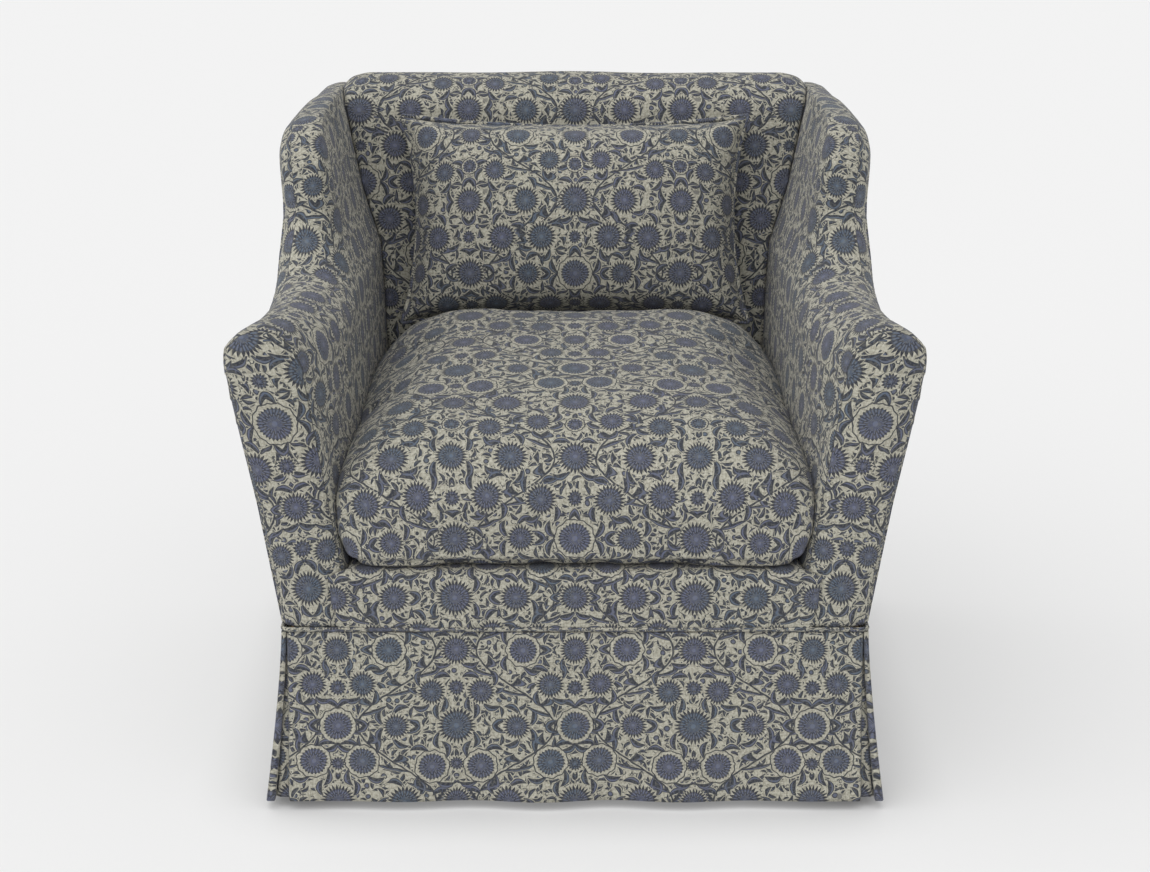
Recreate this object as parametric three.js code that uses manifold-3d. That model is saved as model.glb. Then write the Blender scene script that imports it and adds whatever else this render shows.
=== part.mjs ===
// A skirted club armchair with flared arms, low wings, a loose seat cushion and a back pillow.
// Millimetres, +Z up, the sitter faces -Y. Pieces are laid out from the front plane of the
// chair (y = 0) backwards, and the whole chair is centred over the origin at the end.

import * as THREE from 'three';
import { mergeVertices } from 'three/addons/utils/BufferGeometryUtils.js';
import Module from 'manifold-3d';

const wasm = await Module();
wasm.setup();

// Driving dimensions: outside form
const BASE_WIDTH = 690; // outside width at the welt
const BASE_DEPTH = 703; // front plane to outside back, at the welt
const HEM_HEIGHT = 12; // floor to the skirt's hem
const ARM_HEIGHT = 590; // floor to the top of the arms
const ARM_THICKNESS = 87; // arm facing, outside to inside
const ARM_FLARE = 0.181; // outward lean of the arm fronts per unit of height
const SPLAY_REAR = 0.42; // lean of the sides further back, as a share of that
const SPLAY_DEPTH = 180; // how far back from the front the arms splay
const FLARE_END = 30; // arm top down to where the flare ends
const WING_EXTRA_HEIGHT = 180; // arm top up to the top of the wings
const WING_THICKNESS = 60; // wing, outside to inside
const WING_TOP_THICKNESS = 47; // the same at its top
const WING_TUCK = 12; // how far the wing tops stand inside the widest point
const WING_REACH = 216; // how far the wings stand forward of the inside back
const SWOOP_SHARE = 0.544; // radius of the curve from arm to wing, as a share of that rise
const NOSE_SHARE = 0.433; // radius of the wing's upper front corner, likewise
const WING_FALL = 18; // how much the wing top falls towards the back
const BACK_EXTRA_HEIGHT = 10; // wing top up to the crest of the back
const BACK_RAKE = 0.17; // rearward lean of the inside back per unit of height
const BACK_LEAN = 0.1; // rearward lean of the outside back per unit of height
const BACK_DEPTH = 155; // inside back, at the seat deck, to the outside back
const WAIST_DROP = 130; // arm top down to where the rear filling is fullest
const WING_BLEND = 70; // height over which arm padding thins into the wing
const REAR_FILL = 20; // extra padding of the inside arms where they meet the back

// Driving dimensions: padding and cloth
const ROLL = 43; // radius of the arm and wing rolls
const FRONT_SOFTNESS = 17; // depth of the soft edge round the arm facing
const NOSE_EASE = 4; // how much the arm top's front corner is rounder than the roll
const CAVITY_DEPTH = 45; // room for the side frame behind the outside panels
const SIDE_PANEL = 5; // thickness of the outside arm panels
const BACK_PANEL = 6; // thickness of the outside back panel
const BACK_ROOM = 4; // between that panel and the back posts
const FRAME_ROOM = 3; // between the side boards and the padding inside them
const BACK_CORNER = 40; // radius of the back's upper corners
const BACK_ROLL = 58; // height of the rounded crest of the back
const BORDER_LIP = 60; // how far the front border runs back over the rail
const DECK_HEIGHT = 299; // floor to the top of the seat deck
const BORDER_HEIGHT = 72; // middle of the welt up to the seat deck
const DECK_THICKNESS = 14;
const WELT_RADIUS = 3;
const WELT_CORNER = 8; // radius of the corners it turns round
const SKIRT_CLOTH = 2.4; // lined skirt cloth
const SKIRT_FLARE = 12; // how far the hem stands out from the welt, front and rear
const SIDE_SKIRT_FLARE = 24; // the same at the sides
const SKIRT_SET = 1; // skirt set in from the outside of the base, at the welt
const SKIRT_WAVE = 1.6; // how far the panels wave in and out
const PLEAT_RETURN = 42; // cloth folded back behind each end of a skirt panel
const PLEAT_TURN = 1.6; // radius of that fold at the welt
const PLEAT_SWELL = 1.5; // how much wider the fold is at the hem
const PLEAT_GAP = 0.8; // between the layers at a corner
const PLEAT_REACH = 70; // leg of the corner underlay behind the pleat
const PLEAT_FOLLOW = 0.4; // how much of the skirt's flare it follows

// Driving dimensions: loose cushion and pillow
const CUSHION_SIDE_GAP = 1.5; // between the cushion's widest line and the arms
const CUSHION_FRONT = -5; // front of the cushion, from the front plane
const CUSHION_DEPTH = 71; // seat deck up to the cushion's widest line
const CUSHION_CROWN = 118; // crest above the widest line
const CUSHION_FULLNESS = 5; // higher is flatter on top and rounder at the sides
const CUSHION_TILT = 0.12; // rise of the crown towards the back
const CUSHION_REAR_GAP = 3; // between the cushion and the inside back
const PILLOW_WIDTH = 448; // corner to corner
const PILLOW_HEIGHT = 280;
const PILLOW_BELLY = 74; // fullness of the front
const PILLOW_REST = 42; // fullness of the side that leans on the back
const PILLOW_TILT = 18.5; // lean from upright, degrees
const PILLOW_LEAN_GAP = 5.4; // behind the middle of its rear face, where it touches higher up
const PILLOW_SINK = 13; // how far its foot settles into the crown of the cushion
const PILLOW_FOOT = 0.95; // height of the cushion under it, as a share of the crown
const PILLOW_ZIP = 0.36; // how far below its middle the zip runs, as a share of its height
const PILLOW_DRAW = 0.09; // how far the sides pull in between the corners
const PILLOW_GRID = [12, 10]; // facets across and up
const COVER_WALL = 3; // cushion covers
const PIPING_RADIUS = 2.4;
const ZIP_LENGTH = 360;
const ZIP_WIDTH = 8;

// Driving dimensions: frame
const RAIL_HEIGHT = 140; // seat rails
const BOARD = 25; // thickness of the rails and posts
const ARM_POST_DEPTH = 60;
const BACK_POST_DEPTH = 50;
const ARM_RAIL_HEIGHT = 50;
const WING_BOARD = 20;
const CROSS_RAIL_HEIGHT = 45; // back top rail and back tacking rail
const TENON_LENGTH = 18;
const TENON_ROOT = 5; // how far a tenon starts inside its own rail
const TENON_THICKNESS = 10;
const TENON_SHOULDER = 12; // rail above and below each tenon
const BLOCK_LEG = 112; // corner block, along each rail
const BLOCK_HEIGHT = 45;
const LEG_TOP = 44;
const LEG_FOOT = 32;
const LEG_INSET = 28; // leg centre from the corner of the rails
const LEG_PIN = 10; // diameter of the pin that holds the leg
const LEG_PIN_LENGTH = 32;
const GLIDE_DIAMETER = 26;
const GLIDE_HEIGHT = 6;
const GLIDE_NAIL = 4;
const GLIDE_NAIL_LENGTH = 16;
const SPRING_COUNT = 4;
const SPRING_EDGE = 165; // outside of the base in to the first spring
const SPRING_ROOM = 15; // rails up to the underside of the seat deck
const SPRING_WIRE = 3.6;
const SPRING_SWING = 22; // half width of the zigzag
const SPRING_WAVES = 10;
const SPRING_CROWN = 7; // rise of the springs in the middle of the seat
const CLIP_WIDTH = 12;
const CLIP_HEIGHT = 6;
const STRAP_COUNT = 3;
const STRAP_WIDTH = 50;
const STRAP_THICKNESS = 2;
const STRAP_SPACING = 130;
const DUST_CLOTH = 1;
const GAP = 0.3; // between pieces that touch
const FIT = 0.5; // between padding and what it is pulled over

// Values that follow from the driving dimensions
const HALF = BASE_WIDTH / 2;
const WELT_HEIGHT = DECK_HEIGHT - BORDER_HEIGHT;
const SEAT_TO_BACK = BASE_DEPTH - BACK_DEPTH;
const WING_FRONT = SEAT_TO_BACK - WING_REACH;
const FLARE_TOP = ARM_HEIGHT - FLARE_END;
const WING_HEIGHT = ARM_HEIGHT + WING_EXTRA_HEIGHT;
const SWOOP_RADIUS = WING_EXTRA_HEIGHT * SWOOP_SHARE;
const WING_NOSE = WING_EXTRA_HEIGHT * NOSE_SHARE;
const BACK_HEIGHT = WING_HEIGHT + BACK_EXTRA_HEIGHT;
const RAIL_TOP = DECK_HEIGHT - DECK_THICKNESS - SPRING_ROOM;
const RAIL_BOTTOM = RAIL_TOP - RAIL_HEIGHT;
const TACK_RAIL_BOTTOM = DECK_HEIGHT + GAP + FIT * 10;
const CUSHION_SEAM = DECK_HEIGHT + CUSHION_DEPTH;
const BODY_BOTTOM = WELT_HEIGHT + WELT_RADIUS + GAP;
const SKIRT_TOP = WELT_HEIGHT - WELT_RADIUS - GAP;
const FRAME_INSET = CAVITY_DEPTH - FRAME_ROOM - BOARD / 2;
const POST_FRONT = FRONT_SOFTNESS + 1 + FIT;
const ARM_POST_REAR = POST_FRONT + ARM_POST_DEPTH;
const ARM_POST_TOP = ARM_HEIGHT - ROLL - 1 - FIT;
const BACK_FRAME_TOP = WING_HEIGHT - WING_FALL - ROLL - 1 - FIT;
const SPRING_HEIGHT = RAIL_TOP + GAP + CLIP_HEIGHT / 2;
const SPRING_SPACING = (BASE_WIDTH - 2 * SPRING_EDGE) / (SPRING_COUNT - 1);

// Small geometry tools

function interpolate(knots, at) {
  if (at <= knots[0][0]) return knots[0][1];
  for (let i = 1; i < knots.length; i += 1) {
    const [from, low] = knots[i - 1];
    const [to, high] = knots[i];
    if (at <= to) return low + ((high - low) * (at - from)) / (to - from);
  }
  return knots[knots.length - 1][1];
}

function pointsOf(geometry) {
  const flat = geometry.index ? geometry.toNonIndexed() : geometry;
  const { array } = flat.attributes.position;
  const points = [];
  for (let i = 0; i < array.length; i += 3) points.push([array[i], array[i + 1], array[i + 2]]);
  return points;
}

// Merges equal vertices and drops the triangles that this leaves without an area.
function welded(geometry) {
  const merged = mergeVertices(geometry, 1e-3);
  const { array } = merged.index;
  const kept = [];
  for (let i = 0; i < array.length; i += 3) {
    const [a, b, c] = [array[i], array[i + 1], array[i + 2]];
    if (a !== b && b !== c && c !== a) kept.push(a, b, c);
  }
  return merged.setIndex(kept);
}

function fromPoints(points) {
  const geometry = new THREE.BufferGeometry();
  geometry.setAttribute('position', new THREE.Float32BufferAttribute(points.flat(), 3));
  return welded(geometry);
}

function fromIndex(points, index) {
  const geometry = new THREE.BufferGeometry();
  geometry.setAttribute('position', new THREE.Float32BufferAttribute(points.flat(), 3));
  geometry.setIndex(index);
  return geometry;
}

function toSolid(geometry) {
  const bare = geometry.clone();
  bare.deleteAttribute('normal');
  bare.deleteAttribute('uv');
  const merged = welded(bare);
  const vertProperties = new Float32Array(merged.attributes.position.array);
  const triVerts = new Uint32Array(merged.index.array);
  return new wasm.Manifold(new wasm.Mesh({ numProp: 3, vertProperties, triVerts }));
}

function toGeometry(solid) {
  const mesh = solid.getMesh();
  const geometry = new THREE.BufferGeometry();
  geometry.setAttribute('position', new THREE.BufferAttribute(mesh.vertProperties, 3));
  geometry.setIndex(new THREE.BufferAttribute(mesh.triVerts, 1));
  return geometry;
}

function cut(piece, ...tools) {
  return toGeometry(tools.reduce((solid, tool) => solid.subtract(toSolid(tool)), toSolid(piece)));
}

function join(piece, ...others) {
  return toGeometry(others.reduce((solid, other) => solid.add(toSolid(other)), toSolid(piece)));
}

function common(piece, other) {
  return toGeometry(toSolid(piece).intersect(toSolid(other)));
}

function box([x0, x1], [y0, y1], [z0, z1]) {
  const geometry = new THREE.BoxGeometry(x1 - x0, y1 - y0, z1 - z0);
  return geometry.translate((x0 + x1) / 2, (y0 + y1) / 2, (z0 + z1) / 2);
}

// Points on an arc, from one angle to the other in degrees.
function arc(cx, cy, rx, ry, from, to, steps) {
  return Array.from({ length: steps + 1 }, (_, i) => {
    const angle = THREE.MathUtils.degToRad(from + ((to - from) * i) / steps);
    return [cx + rx * Math.cos(angle), cy + ry * Math.sin(angle)];
  });
}

// An outline drawn in side view (y, z), run across the chair from x0 to x1.
const SIDE_VIEW = new THREE.Matrix4().set(0, 0, 1, 0, 1, 0, 0, 0, 0, 1, 0, 0, 0, 0, 0, 1);

function extruded(outline, options) {
  const shape = new THREE.Shape(outline.map(([y, z]) => new THREE.Vector2(y, z)));
  return new THREE.ExtrudeGeometry(shape, options).applyMatrix4(SIDE_VIEW);
}

function across(outline, x0, x1) {
  return extruded(outline, { depth: x1 - x0, bevelEnabled: false }).translate(x0, 0, 0);
}

function between(a, b, axis, level) {
  const [low, high] = a[axis] < b[axis] ? [a, b] : [b, a];
  const share = (level - low[axis]) / (high[axis] - low[axis]);
  const point = low.map((value, i) => value + (high[i] - value) * share);
  point[axis] = level;
  return point;
}

function splitTriangle(triangle, axis, level) {
  const side = triangle.map((point) => {
    const offset = point[axis] - level;
    return Math.abs(offset) < 1e-3 ? 0 : offset;
  });
  for (let i = 0; i < 3; i += 1) {
    const [j, k] = [(i + 1) % 3, (i + 2) % 3];
    const [a, b, c] = [triangle[i], triangle[j], triangle[k]];
    if (side[i] * side[j] < 0 && side[k] === 0) {
      const middle = between(a, b, axis, level);
      return [[a, middle, c], [middle, b, c]];
    }
    if (side[i] * side[j] < 0 && side[i] * side[k] < 0) {
      const [left, right] = [between(a, b, axis, level), between(a, c, axis, level)];
      return [[a, left, right], [left, b, c], [left, c, right]];
    }
  }
  return [triangle];
}

// Cuts a mesh's triangles along level planes, so that it can then be bent there.
function sliced(geometry, axis, levels) {
  const points = pointsOf(geometry);
  let triangles = [];
  for (let i = 0; i < points.length; i += 3) triangles.push(points.slice(i, i + 3));
  for (const level of levels) {
    triangles = triangles.flatMap((triangle) => splitTriangle(triangle, axis, level));
  }
  return fromPoints(triangles.flat());
}

function bent(geometry, place) {
  const position = geometry.attributes.position;
  for (let i = 0; i < position.count; i += 1) {
    const moved = place([position.getX(i), position.getY(i), position.getZ(i)]);
    position.setXYZ(i, ...moved);
  }
  return geometry;
}

function mirrored(geometry) {
  const points = pointsOf(geometry).map(([x, y, z]) => [-x, y, z]);
  for (let i = 0; i < points.length; i += 3) [points[i], points[i + 1]] = [points[i + 1], points[i]];
  return fromPoints(points);
}

function signedVolume(geometry) {
  const points = pointsOf(geometry).map((point) => new THREE.Vector3(...point));
  let volume = 0;
  for (let i = 0; i < points.length; i += 3) {
    volume += points[i].dot(points[i + 1].clone().cross(points[i + 2])) / 6;
  }
  return volume;
}

function facingOut(points, index) {
  const geometry = fromIndex(points, index);
  if (signedVolume(geometry) > 0) return geometry;
  return fromIndex(points, index.slice().reverse());
}

// Joins rings of points, each with as many points, into one closed body.
function loft(rings, closed = false) {
  const count = rings[0].length;
  const points = rings.flat();
  const index = [];
  const steps = closed ? rings.length : rings.length - 1;
  for (let i = 0; i < steps; i += 1) {
    const next = (i + 1) % rings.length;
    for (let j = 0; j < count; j += 1) {
      const k = (j + 1) % count;
      const [a, b, c, d] = [i * count + j, i * count + k, next * count + k, next * count + j];
      index.push(a, b, c, a, c, d);
    }
  }
  if (!closed) addCaps(rings, points, index);
  return facingOut(points, index);
}

function middleOf(ring) {
  return [0, 1, 2].map((axis) => ring.reduce((sum, point) => sum + point[axis], 0) / ring.length);
}

function addCaps(rings, points, index) {
  const count = rings[0].length;
  const last = (rings.length - 1) * count;
  const [low, high] = [points.length, points.length + 1];
  points.push(middleOf(rings[0]), middleOf(rings[rings.length - 1]));
  for (let j = 0; j < count; j += 1) {
    const k = (j + 1) % count;
    index.push(low, k, j, high, last + j, last + k);
  }
}

function rectangleRing(x, y, z, width, depth) {
  const [w, d] = [width / 2, depth / 2];
  return [[x - w, y - d, z], [x + w, y - d, z], [x + w, y + d, z], [x - w, y + d, z]];
}

function pin(x, y, z0, z1, diameter, sides = 12) {
  const geometry = new THREE.CylinderGeometry(diameter / 2, diameter / 2, z1 - z0, sides);
  return geometry.rotateX(Math.PI / 2).translate(x, y, (z0 + z1) / 2);
}

// A round cord laid along a closed path in one plane; up is the plane's normal.
function cordLoop(path, up, radius, sides = 6) {
  const normal = new THREE.Vector3(...up).normalize();
  const points = path.map((point) => new THREE.Vector3(...point));
  const rings = points.map((point, i) => {
    const before = points[(i + points.length - 1) % points.length];
    const after = points[(i + 1) % points.length];
    const side = after.clone().sub(before).normalize().cross(normal);
    return Array.from({ length: sides }, (_, j) => {
      const angle = (2 * Math.PI * j) / sides;
      const offset = side.clone().multiplyScalar(Math.cos(angle) * radius);
      return point.clone().add(offset).addScaledVector(normal, Math.sin(angle) * radius).toArray();
    });
  });
  return loft(rings, true);
}

// The outside form of the sides: half width, padding and rear filling against height

// Each row: height, half width outside, padding, share of the filling at the rear.
const widest = HALF + ARM_FLARE * (FLARE_TOP - WELT_HEIGHT);
const waist = ARM_HEIGHT - WAIST_DROP;
const sideRows = [
  [WELT_HEIGHT, HALF, ARM_THICKNESS, 0.45],
  [waist, HALF + ARM_FLARE * (waist - WELT_HEIGHT), ARM_THICKNESS, 0.75],
  [FLARE_TOP, widest, ARM_THICKNESS, 0.85],
  [FLARE_TOP + WING_BLEND, widest - WING_TUCK * 0.25, WING_THICKNESS, 1],
  [WING_HEIGHT - WING_BLEND, widest - WING_TUCK * 0.8, WING_THICKNESS, 0.1],
  [WING_HEIGHT, widest - WING_TUCK, WING_TOP_THICKNESS, 0],
];
const knotsOf = (column, scale = 1) => sideRows.map((row) => [row[0], row[column] * scale]);
const [outsideKnots, thicknessKnots, rearKnots] = [knotsOf(1), knotsOf(2), knotsOf(3, REAR_FILL)];
const twistLevel = (WELT_HEIGHT + waist) / 2;
const SIDE_LEVELS = [twistLevel, ...sideRows.map(([height]) => height)];
const splayLevels = [ARM_POST_REAR, SPLAY_DEPTH];
const DEPTH_LEVELS = [FRONT_SOFTNESS, ...splayLevels, SEAT_TO_BACK];

// The arms lean out most at their fronts, and less and less over the splay's depth.
const splayCurve = (y) => SPLAY_REAR + (1 - SPLAY_REAR) * (1 - y / SPLAY_DEPTH) ** 2;
const splayKnots = [0, ...splayLevels].map((y) => [y, splayCurve(y)]);
const splayAt = (y) => interpolate(splayKnots, y);

// Boards behind the arm post are straight, so their plane runs straight to the back.
function boardSplayAt(y) {
  const behindPost = [[ARM_POST_REAR, splayAt(ARM_POST_REAR)], [SEAT_TO_BACK, SPLAY_REAR]];
  return y < ARM_POST_REAR ? splayAt(y) : interpolate(behindPost, y);
}

const leanAt = (z) => interpolate(outsideKnots, z) - HALF;
const outsideAt = (y, z) => HALF + leanAt(z) * splayAt(y);
const framePlaneAt = (y, z) => HALF + leanAt(Math.max(z, RAIL_TOP)) * boardSplayAt(y) - FRAME_INSET;
const rearFillAt = (y, z) => interpolate(rearKnots, z) * interpolate([[0, 0], [SEAT_TO_BACK, 1]], y);
const insideAt = (y, z) => outsideAt(y, z) - interpolate(thicknessKnots, z) - rearFillAt(y, z);
const outsideBackAt = (z) => BASE_DEPTH + BACK_LEAN * (z - WELT_HEIGHT);
const insideBackAt = (z) => SEAT_TO_BACK + BACK_RAKE * (z - DECK_HEIGHT);

// Takes a straight side, x from 0 inside to ARM_THICKNESS outside, to its flared place.
function leanSide([x, y, z]) {
  const fromOutside = ARM_THICKNESS - x;
  const within = Math.min(fromOutside, CAVITY_DEPTH);
  const beyond = Math.max(0, fromOutside - CAVITY_DEPTH) / (ARM_THICKNESS - CAVITY_DEPTH);
  const padding = interpolate(thicknessKnots, z) - CAVITY_DEPTH + rearFillAt(y, z);
  const softness = FRONT_SOFTNESS / ROLL;
  const depth = y < FRONT_SOFTNESS ? FRONT_SOFTNESS + (y - FRONT_SOFTNESS) * softness : y;
  return [outsideAt(depth, z) - within - beyond * padding, depth, z];
}

function leanedSide(geometry) {
  const across = sliced(geometry, 0, [ARM_THICKNESS - CAVITY_DEPTH]);
  return bent(sliced(sliced(across, 1, DEPTH_LEVELS), 2, SIDE_LEVELS), leanSide);
}

function leanedBoard(geometry) {
  const levels = [RAIL_TOP, ...SIDE_LEVELS];
  return bent(sliced(geometry, 2, levels), ([x, y, z]) => [x + framePlaneAt(y, z), y, z]);
}

// Side outline in side view, set in from the outside by inset.
function sideOutline(inset) {
  const front = FRONT_SOFTNESS - ROLL + inset;
  const nose = ROLL + NOSE_EASE - inset;
  const swoopY = WING_FRONT - SWOOP_RADIUS;
  const noseY = WING_FRONT + WING_NOSE;
  const wingTop = WING_HEIGHT - inset;
  const far = BASE_DEPTH + WING_HEIGHT * BACK_LEAN + 2 * ROLL;
  const armNose = nose > NOSE_EASE
    ? arc(front + nose, ARM_HEIGHT - inset - nose, nose, nose, 180, 90, 4)
    : [[front, ARM_HEIGHT - inset]];
  return [
    [front, 0],
    ...armNose,
    ...arc(swoopY, ARM_HEIGHT + SWOOP_RADIUS, SWOOP_RADIUS + inset, SWOOP_RADIUS + inset, -90, 0, 5),
    ...arc(noseY, WING_HEIGHT - WING_NOSE, WING_NOSE - inset, WING_NOSE - inset, 180, 90, 5),
    [SEAT_TO_BACK, wingTop],
    [far, wingTop - WING_FALL],
    [far, 0],
  ];
}

// All that lies under the body's lower edge, or behind the outside back.
const PANEL_TOP = BACK_FRAME_TOP + BACK_ROOM;

function belowAndBehind() {
  const [low, high] = [-BASE_DEPTH, BACK_HEIGHT + BASE_DEPTH];
  const [wide, deep] = [BASE_WIDTH, BASE_DEPTH * 3];
  const step = PANEL_TOP + GAP;
  const inner = (z) => outsideBackAt(z) - BACK_PANEL - GAP;
  const behind = [[inner(low), low], [deep, low], [deep, high], [outsideBackAt(high), high]];
  behind.push([outsideBackAt(step), step], [inner(step), step]);
  const below = box([-wide, wide], [-deep, deep], [low, BODY_BOTTOM]);
  return [across(behind, -wide, wide), below];
}

// Padded arm and wing in one: a rounded slab, hollow behind for the side frame.
function straightSide() {
  const options = {
    depth: ARM_THICKNESS - 2 * ROLL,
    bevelThickness: ROLL,
    bevelSize: ROLL,
    bevelOffset: -ROLL,
    bevelSegments: 3,
  };
  const slab = extruded(sideOutline(0), options).translate(ROLL, 0, 0);
  return cut(slab, ...belowAndBehind());
}

function sidePad(...notches) {
  const cavity = across(sideOutline(ROLL + 1), ARM_THICKNESS - CAVITY_DEPTH, ARM_THICKNESS + 1);
  return cut(leanedSide(cut(straightSide(), cavity)), ...notches);
}

// The full side without its hollow, a little thicker inside: what its neighbours are cut by.
function sideSpace() {
  const grown = ([x, y, z]) => [x < ARM_THICKNESS / 2 ? x - FIT : x, y, z];
  return leanedSide(bent(straightSide(), grown));
}

function outsideArmPanel() {
  const plate = across(sideOutline(ROLL + 1 + FIT), ARM_THICKNESS - SIDE_PANEL, ARM_THICKNESS);
  return leanedSide(cut(plate, ...belowAndBehind()));
}

// Side frame: posts, side rail, arm rail and wing board, flat until leaned with the side

const armRailBottom = ARM_POST_TOP - ARM_RAIL_HEIGHT;
const backPostRear = (z) => outsideBackAt(z) - BACK_PANEL - GAP - BACK_ROOM;
const backPostFront = (z) => backPostRear(z) - BACK_POST_DEPTH;
const half = BOARD / 2;

function uprightSlice(front, rear, z0, z1) {
  return [[front(z0), z0], [rear(z0), z0], [rear(z1), z1], [front(z1), z1]];
}

function tenonAt([y0, y1], z0, z1, grow) {
  const w = TENON_THICKNESS / 2 + grow;
  return box([-w, w], [y0 - grow, y1 + grow], [z0 - grow, z1 + grow]);
}

function sideBoards() {
  const flat = { armPost: null, backPost: null, sideRail: null, armRail: null, wingBoard: null };
  flat.armPost = box([-half, half], [POST_FRONT, ARM_POST_REAR], [RAIL_BOTTOM, ARM_POST_TOP]);
  const post = uprightSlice(backPostFront, backPostRear, RAIL_BOTTOM, BACK_FRAME_TOP);
  flat.backPost = across(post, -half, half);
  const railEnd = (z) => backPostFront(z) - GAP;
  const railStart = () => ARM_POST_REAR + GAP;
  const side = uprightSlice(railStart, railEnd, RAIL_BOTTOM, RAIL_TOP);
  const arm = uprightSlice(railStart, railEnd, armRailBottom, ARM_POST_TOP);
  flat.sideRail = across(side, -half, half);
  flat.armRail = across(arm, -half, half);
  const tenons = { sideRail: [RAIL_BOTTOM, RAIL_TOP], armRail: [armRailBottom, ARM_POST_TOP] };
  for (const [rail, [z0, z1]] of Object.entries(tenons)) {
    const [low, high] = [z0 + TENON_SHOULDER, z1 - TENON_SHOULDER];
    const start = [ARM_POST_REAR - TENON_LENGTH, ARM_POST_REAR + TENON_ROOT];
    const end = [backPostFront(low) - TENON_ROOT, backPostFront(low) + TENON_LENGTH];
    flat[rail] = join(flat[rail], tenonAt(start, low, high, 0), tenonAt(end, low, high, 0));
    flat.armPost = cut(flat.armPost, tenonAt(start, low, high, GAP));
    flat.backPost = cut(flat.backPost, tenonAt(end, low, high, GAP));
  }
  flat.wingBoard = wingBoard();
  for (const name of Object.keys(flat)) flat[name] = leanedBoard(flat[name]);
  return flat;
}

function wingBoard() {
  const plate = across(sideOutline(ROLL + 1 + FIT), -WING_BOARD / 2, WING_BOARD / 2);
  const [bottom, top] = [ARM_POST_TOP + GAP, BACK_FRAME_TOP];
  const front = () => WING_FRONT - SWOOP_RADIUS * 0.3;
  const room = uprightSlice(front, (z) => backPostFront(z) - GAP, bottom, top);
  return common(plate, across(room, -BOARD, BOARD));
}

// Cross members between the two side frames

// A rail between the side frames. The room its tenons need in the posts is added to mortises.
function acrossRail(front, rear, z0, z1, mortises) {
  const reach = Math.min(framePlaneAt(rear(z0), z0), framePlaneAt(rear(z1), z1)) - half - GAP;
  const rail = across(uprightSlice(front, rear, z0, z1), -reach, reach);
  const [low, high] = [z0 + TENON_SHOULDER, z1 - TENON_SHOULDER];
  const middle = (front((low + high) / 2) + rear((low + high) / 2)) / 2;
  const tenon = (grow) => {
    const [w, end] = [TENON_THICKNESS / 2 + grow, reach + TENON_LENGTH * 0.6 + grow];
    return box([-end, end], [middle - w, middle + w], [low - grow, high + grow]);
  };
  mortises.push(tenon(GAP));
  return join(rail, tenon(0));
}

const frontRailRear = POST_FRONT + BOARD;
const crossFront = (z) => backPostRear(z) - BOARD;

function crossRails() {
  const mortises = [];
  const behind = (z0, z1) => acrossRail(crossFront, backPostRear, z0, z1, mortises);
  const rails = {
    front: acrossRail(() => POST_FRONT, () => frontRailRear, RAIL_BOTTOM, RAIL_TOP, mortises),
    back: behind(RAIL_BOTTOM, RAIL_TOP),
    tack: behind(TACK_RAIL_BOTTOM, TACK_RAIL_BOTTOM + CROSS_RAIL_HEIGHT),
    top: behind(BACK_FRAME_TOP - CROSS_RAIL_HEIGHT, BACK_FRAME_TOP),
  };
  return { rails, mortises };
}

// The same rail, larger by the fit all round: what padding is notched by.
function railSpace(front, rear, z0, z1) {
  const behind = rear === backPostRear ? BACK_ROOM + 1 : FIT;
  const shape = uprightSlice((z) => front(z) - FIT, (z) => rear(z) + behind, z0 - FIT, z1 + FIT);
  const reach = framePlaneAt(rear(z0), (z0 + z1) / 2);
  return across(shape, -reach, reach);
}

function railSpaces() {
  const frontSpace = railSpace(() => POST_FRONT, () => frontRailRear, RAIL_BOTTOM, RAIL_TOP);
  const levels = [RAIL_BOTTOM, TACK_RAIL_BOTTOM, BACK_FRAME_TOP - CROSS_RAIL_HEIGHT];
  const tops = [RAIL_TOP, TACK_RAIL_BOTTOM + CROSS_RAIL_HEIGHT, BACK_FRAME_TOP];
  return [frontSpace, ...levels.map((low, i) => railSpace(crossFront, backPostRear, low, tops[i]))];
}

// Corner blocks, legs and glides. Corners are given as [side, end]: side -1 left, end 0 front.

function cornerAt(end) {
  const y = end === 0 ? frontRailRear + GAP : crossFront(RAIL_BOTTOM) - GAP;
  const narrowest = end === 0 ? y + BLOCK_LEG : y;
  const x = framePlaneAt(narrowest, RAIL_BOTTOM) - half - GAP;
  return { x, y, inward: end === 0 ? 1 : -1 };
}

function cornerBlock(end) {
  const { x, y, inward } = cornerAt(end);
  const corners = [[x, y], [x - BLOCK_LEG, y], [x, y + inward * BLOCK_LEG]];
  const ring = (z) => corners.map(([px, py]) => [px, py, z]);
  const block = loft([ring(RAIL_BOTTOM), ring(RAIL_BOTTOM + BLOCK_HEIGHT)]);
  const [legX, legY] = legPlace(end);
  const bore = pin(legX, legY, RAIL_BOTTOM - 1, RAIL_BOTTOM + LEG_PIN_LENGTH + 2, LEG_PIN + 2 * GAP);
  return cut(block, bore);
}

function legPlace(end) {
  const { x, y, inward } = cornerAt(end);
  return [x - LEG_INSET, y + inward * LEG_INSET];
}

function leg(end) {
  const [x, y] = legPlace(end);
  const [low, high] = [GLIDE_HEIGHT + GAP, RAIL_BOTTOM - GAP];
  const foot = rectangleRing(x, y, low, LEG_FOOT, LEG_FOOT);
  const body = loft([foot, rectangleRing(x, y, high, LEG_TOP, LEG_TOP)]);
  const nailHole = pin(x, y, low - 1, low + GLIDE_NAIL_LENGTH, GLIDE_NAIL + 2 * GAP, 8);
  return cut(join(body, pin(x, y, high - 1, RAIL_BOTTOM + LEG_PIN_LENGTH, LEG_PIN)), nailHole);
}

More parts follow.
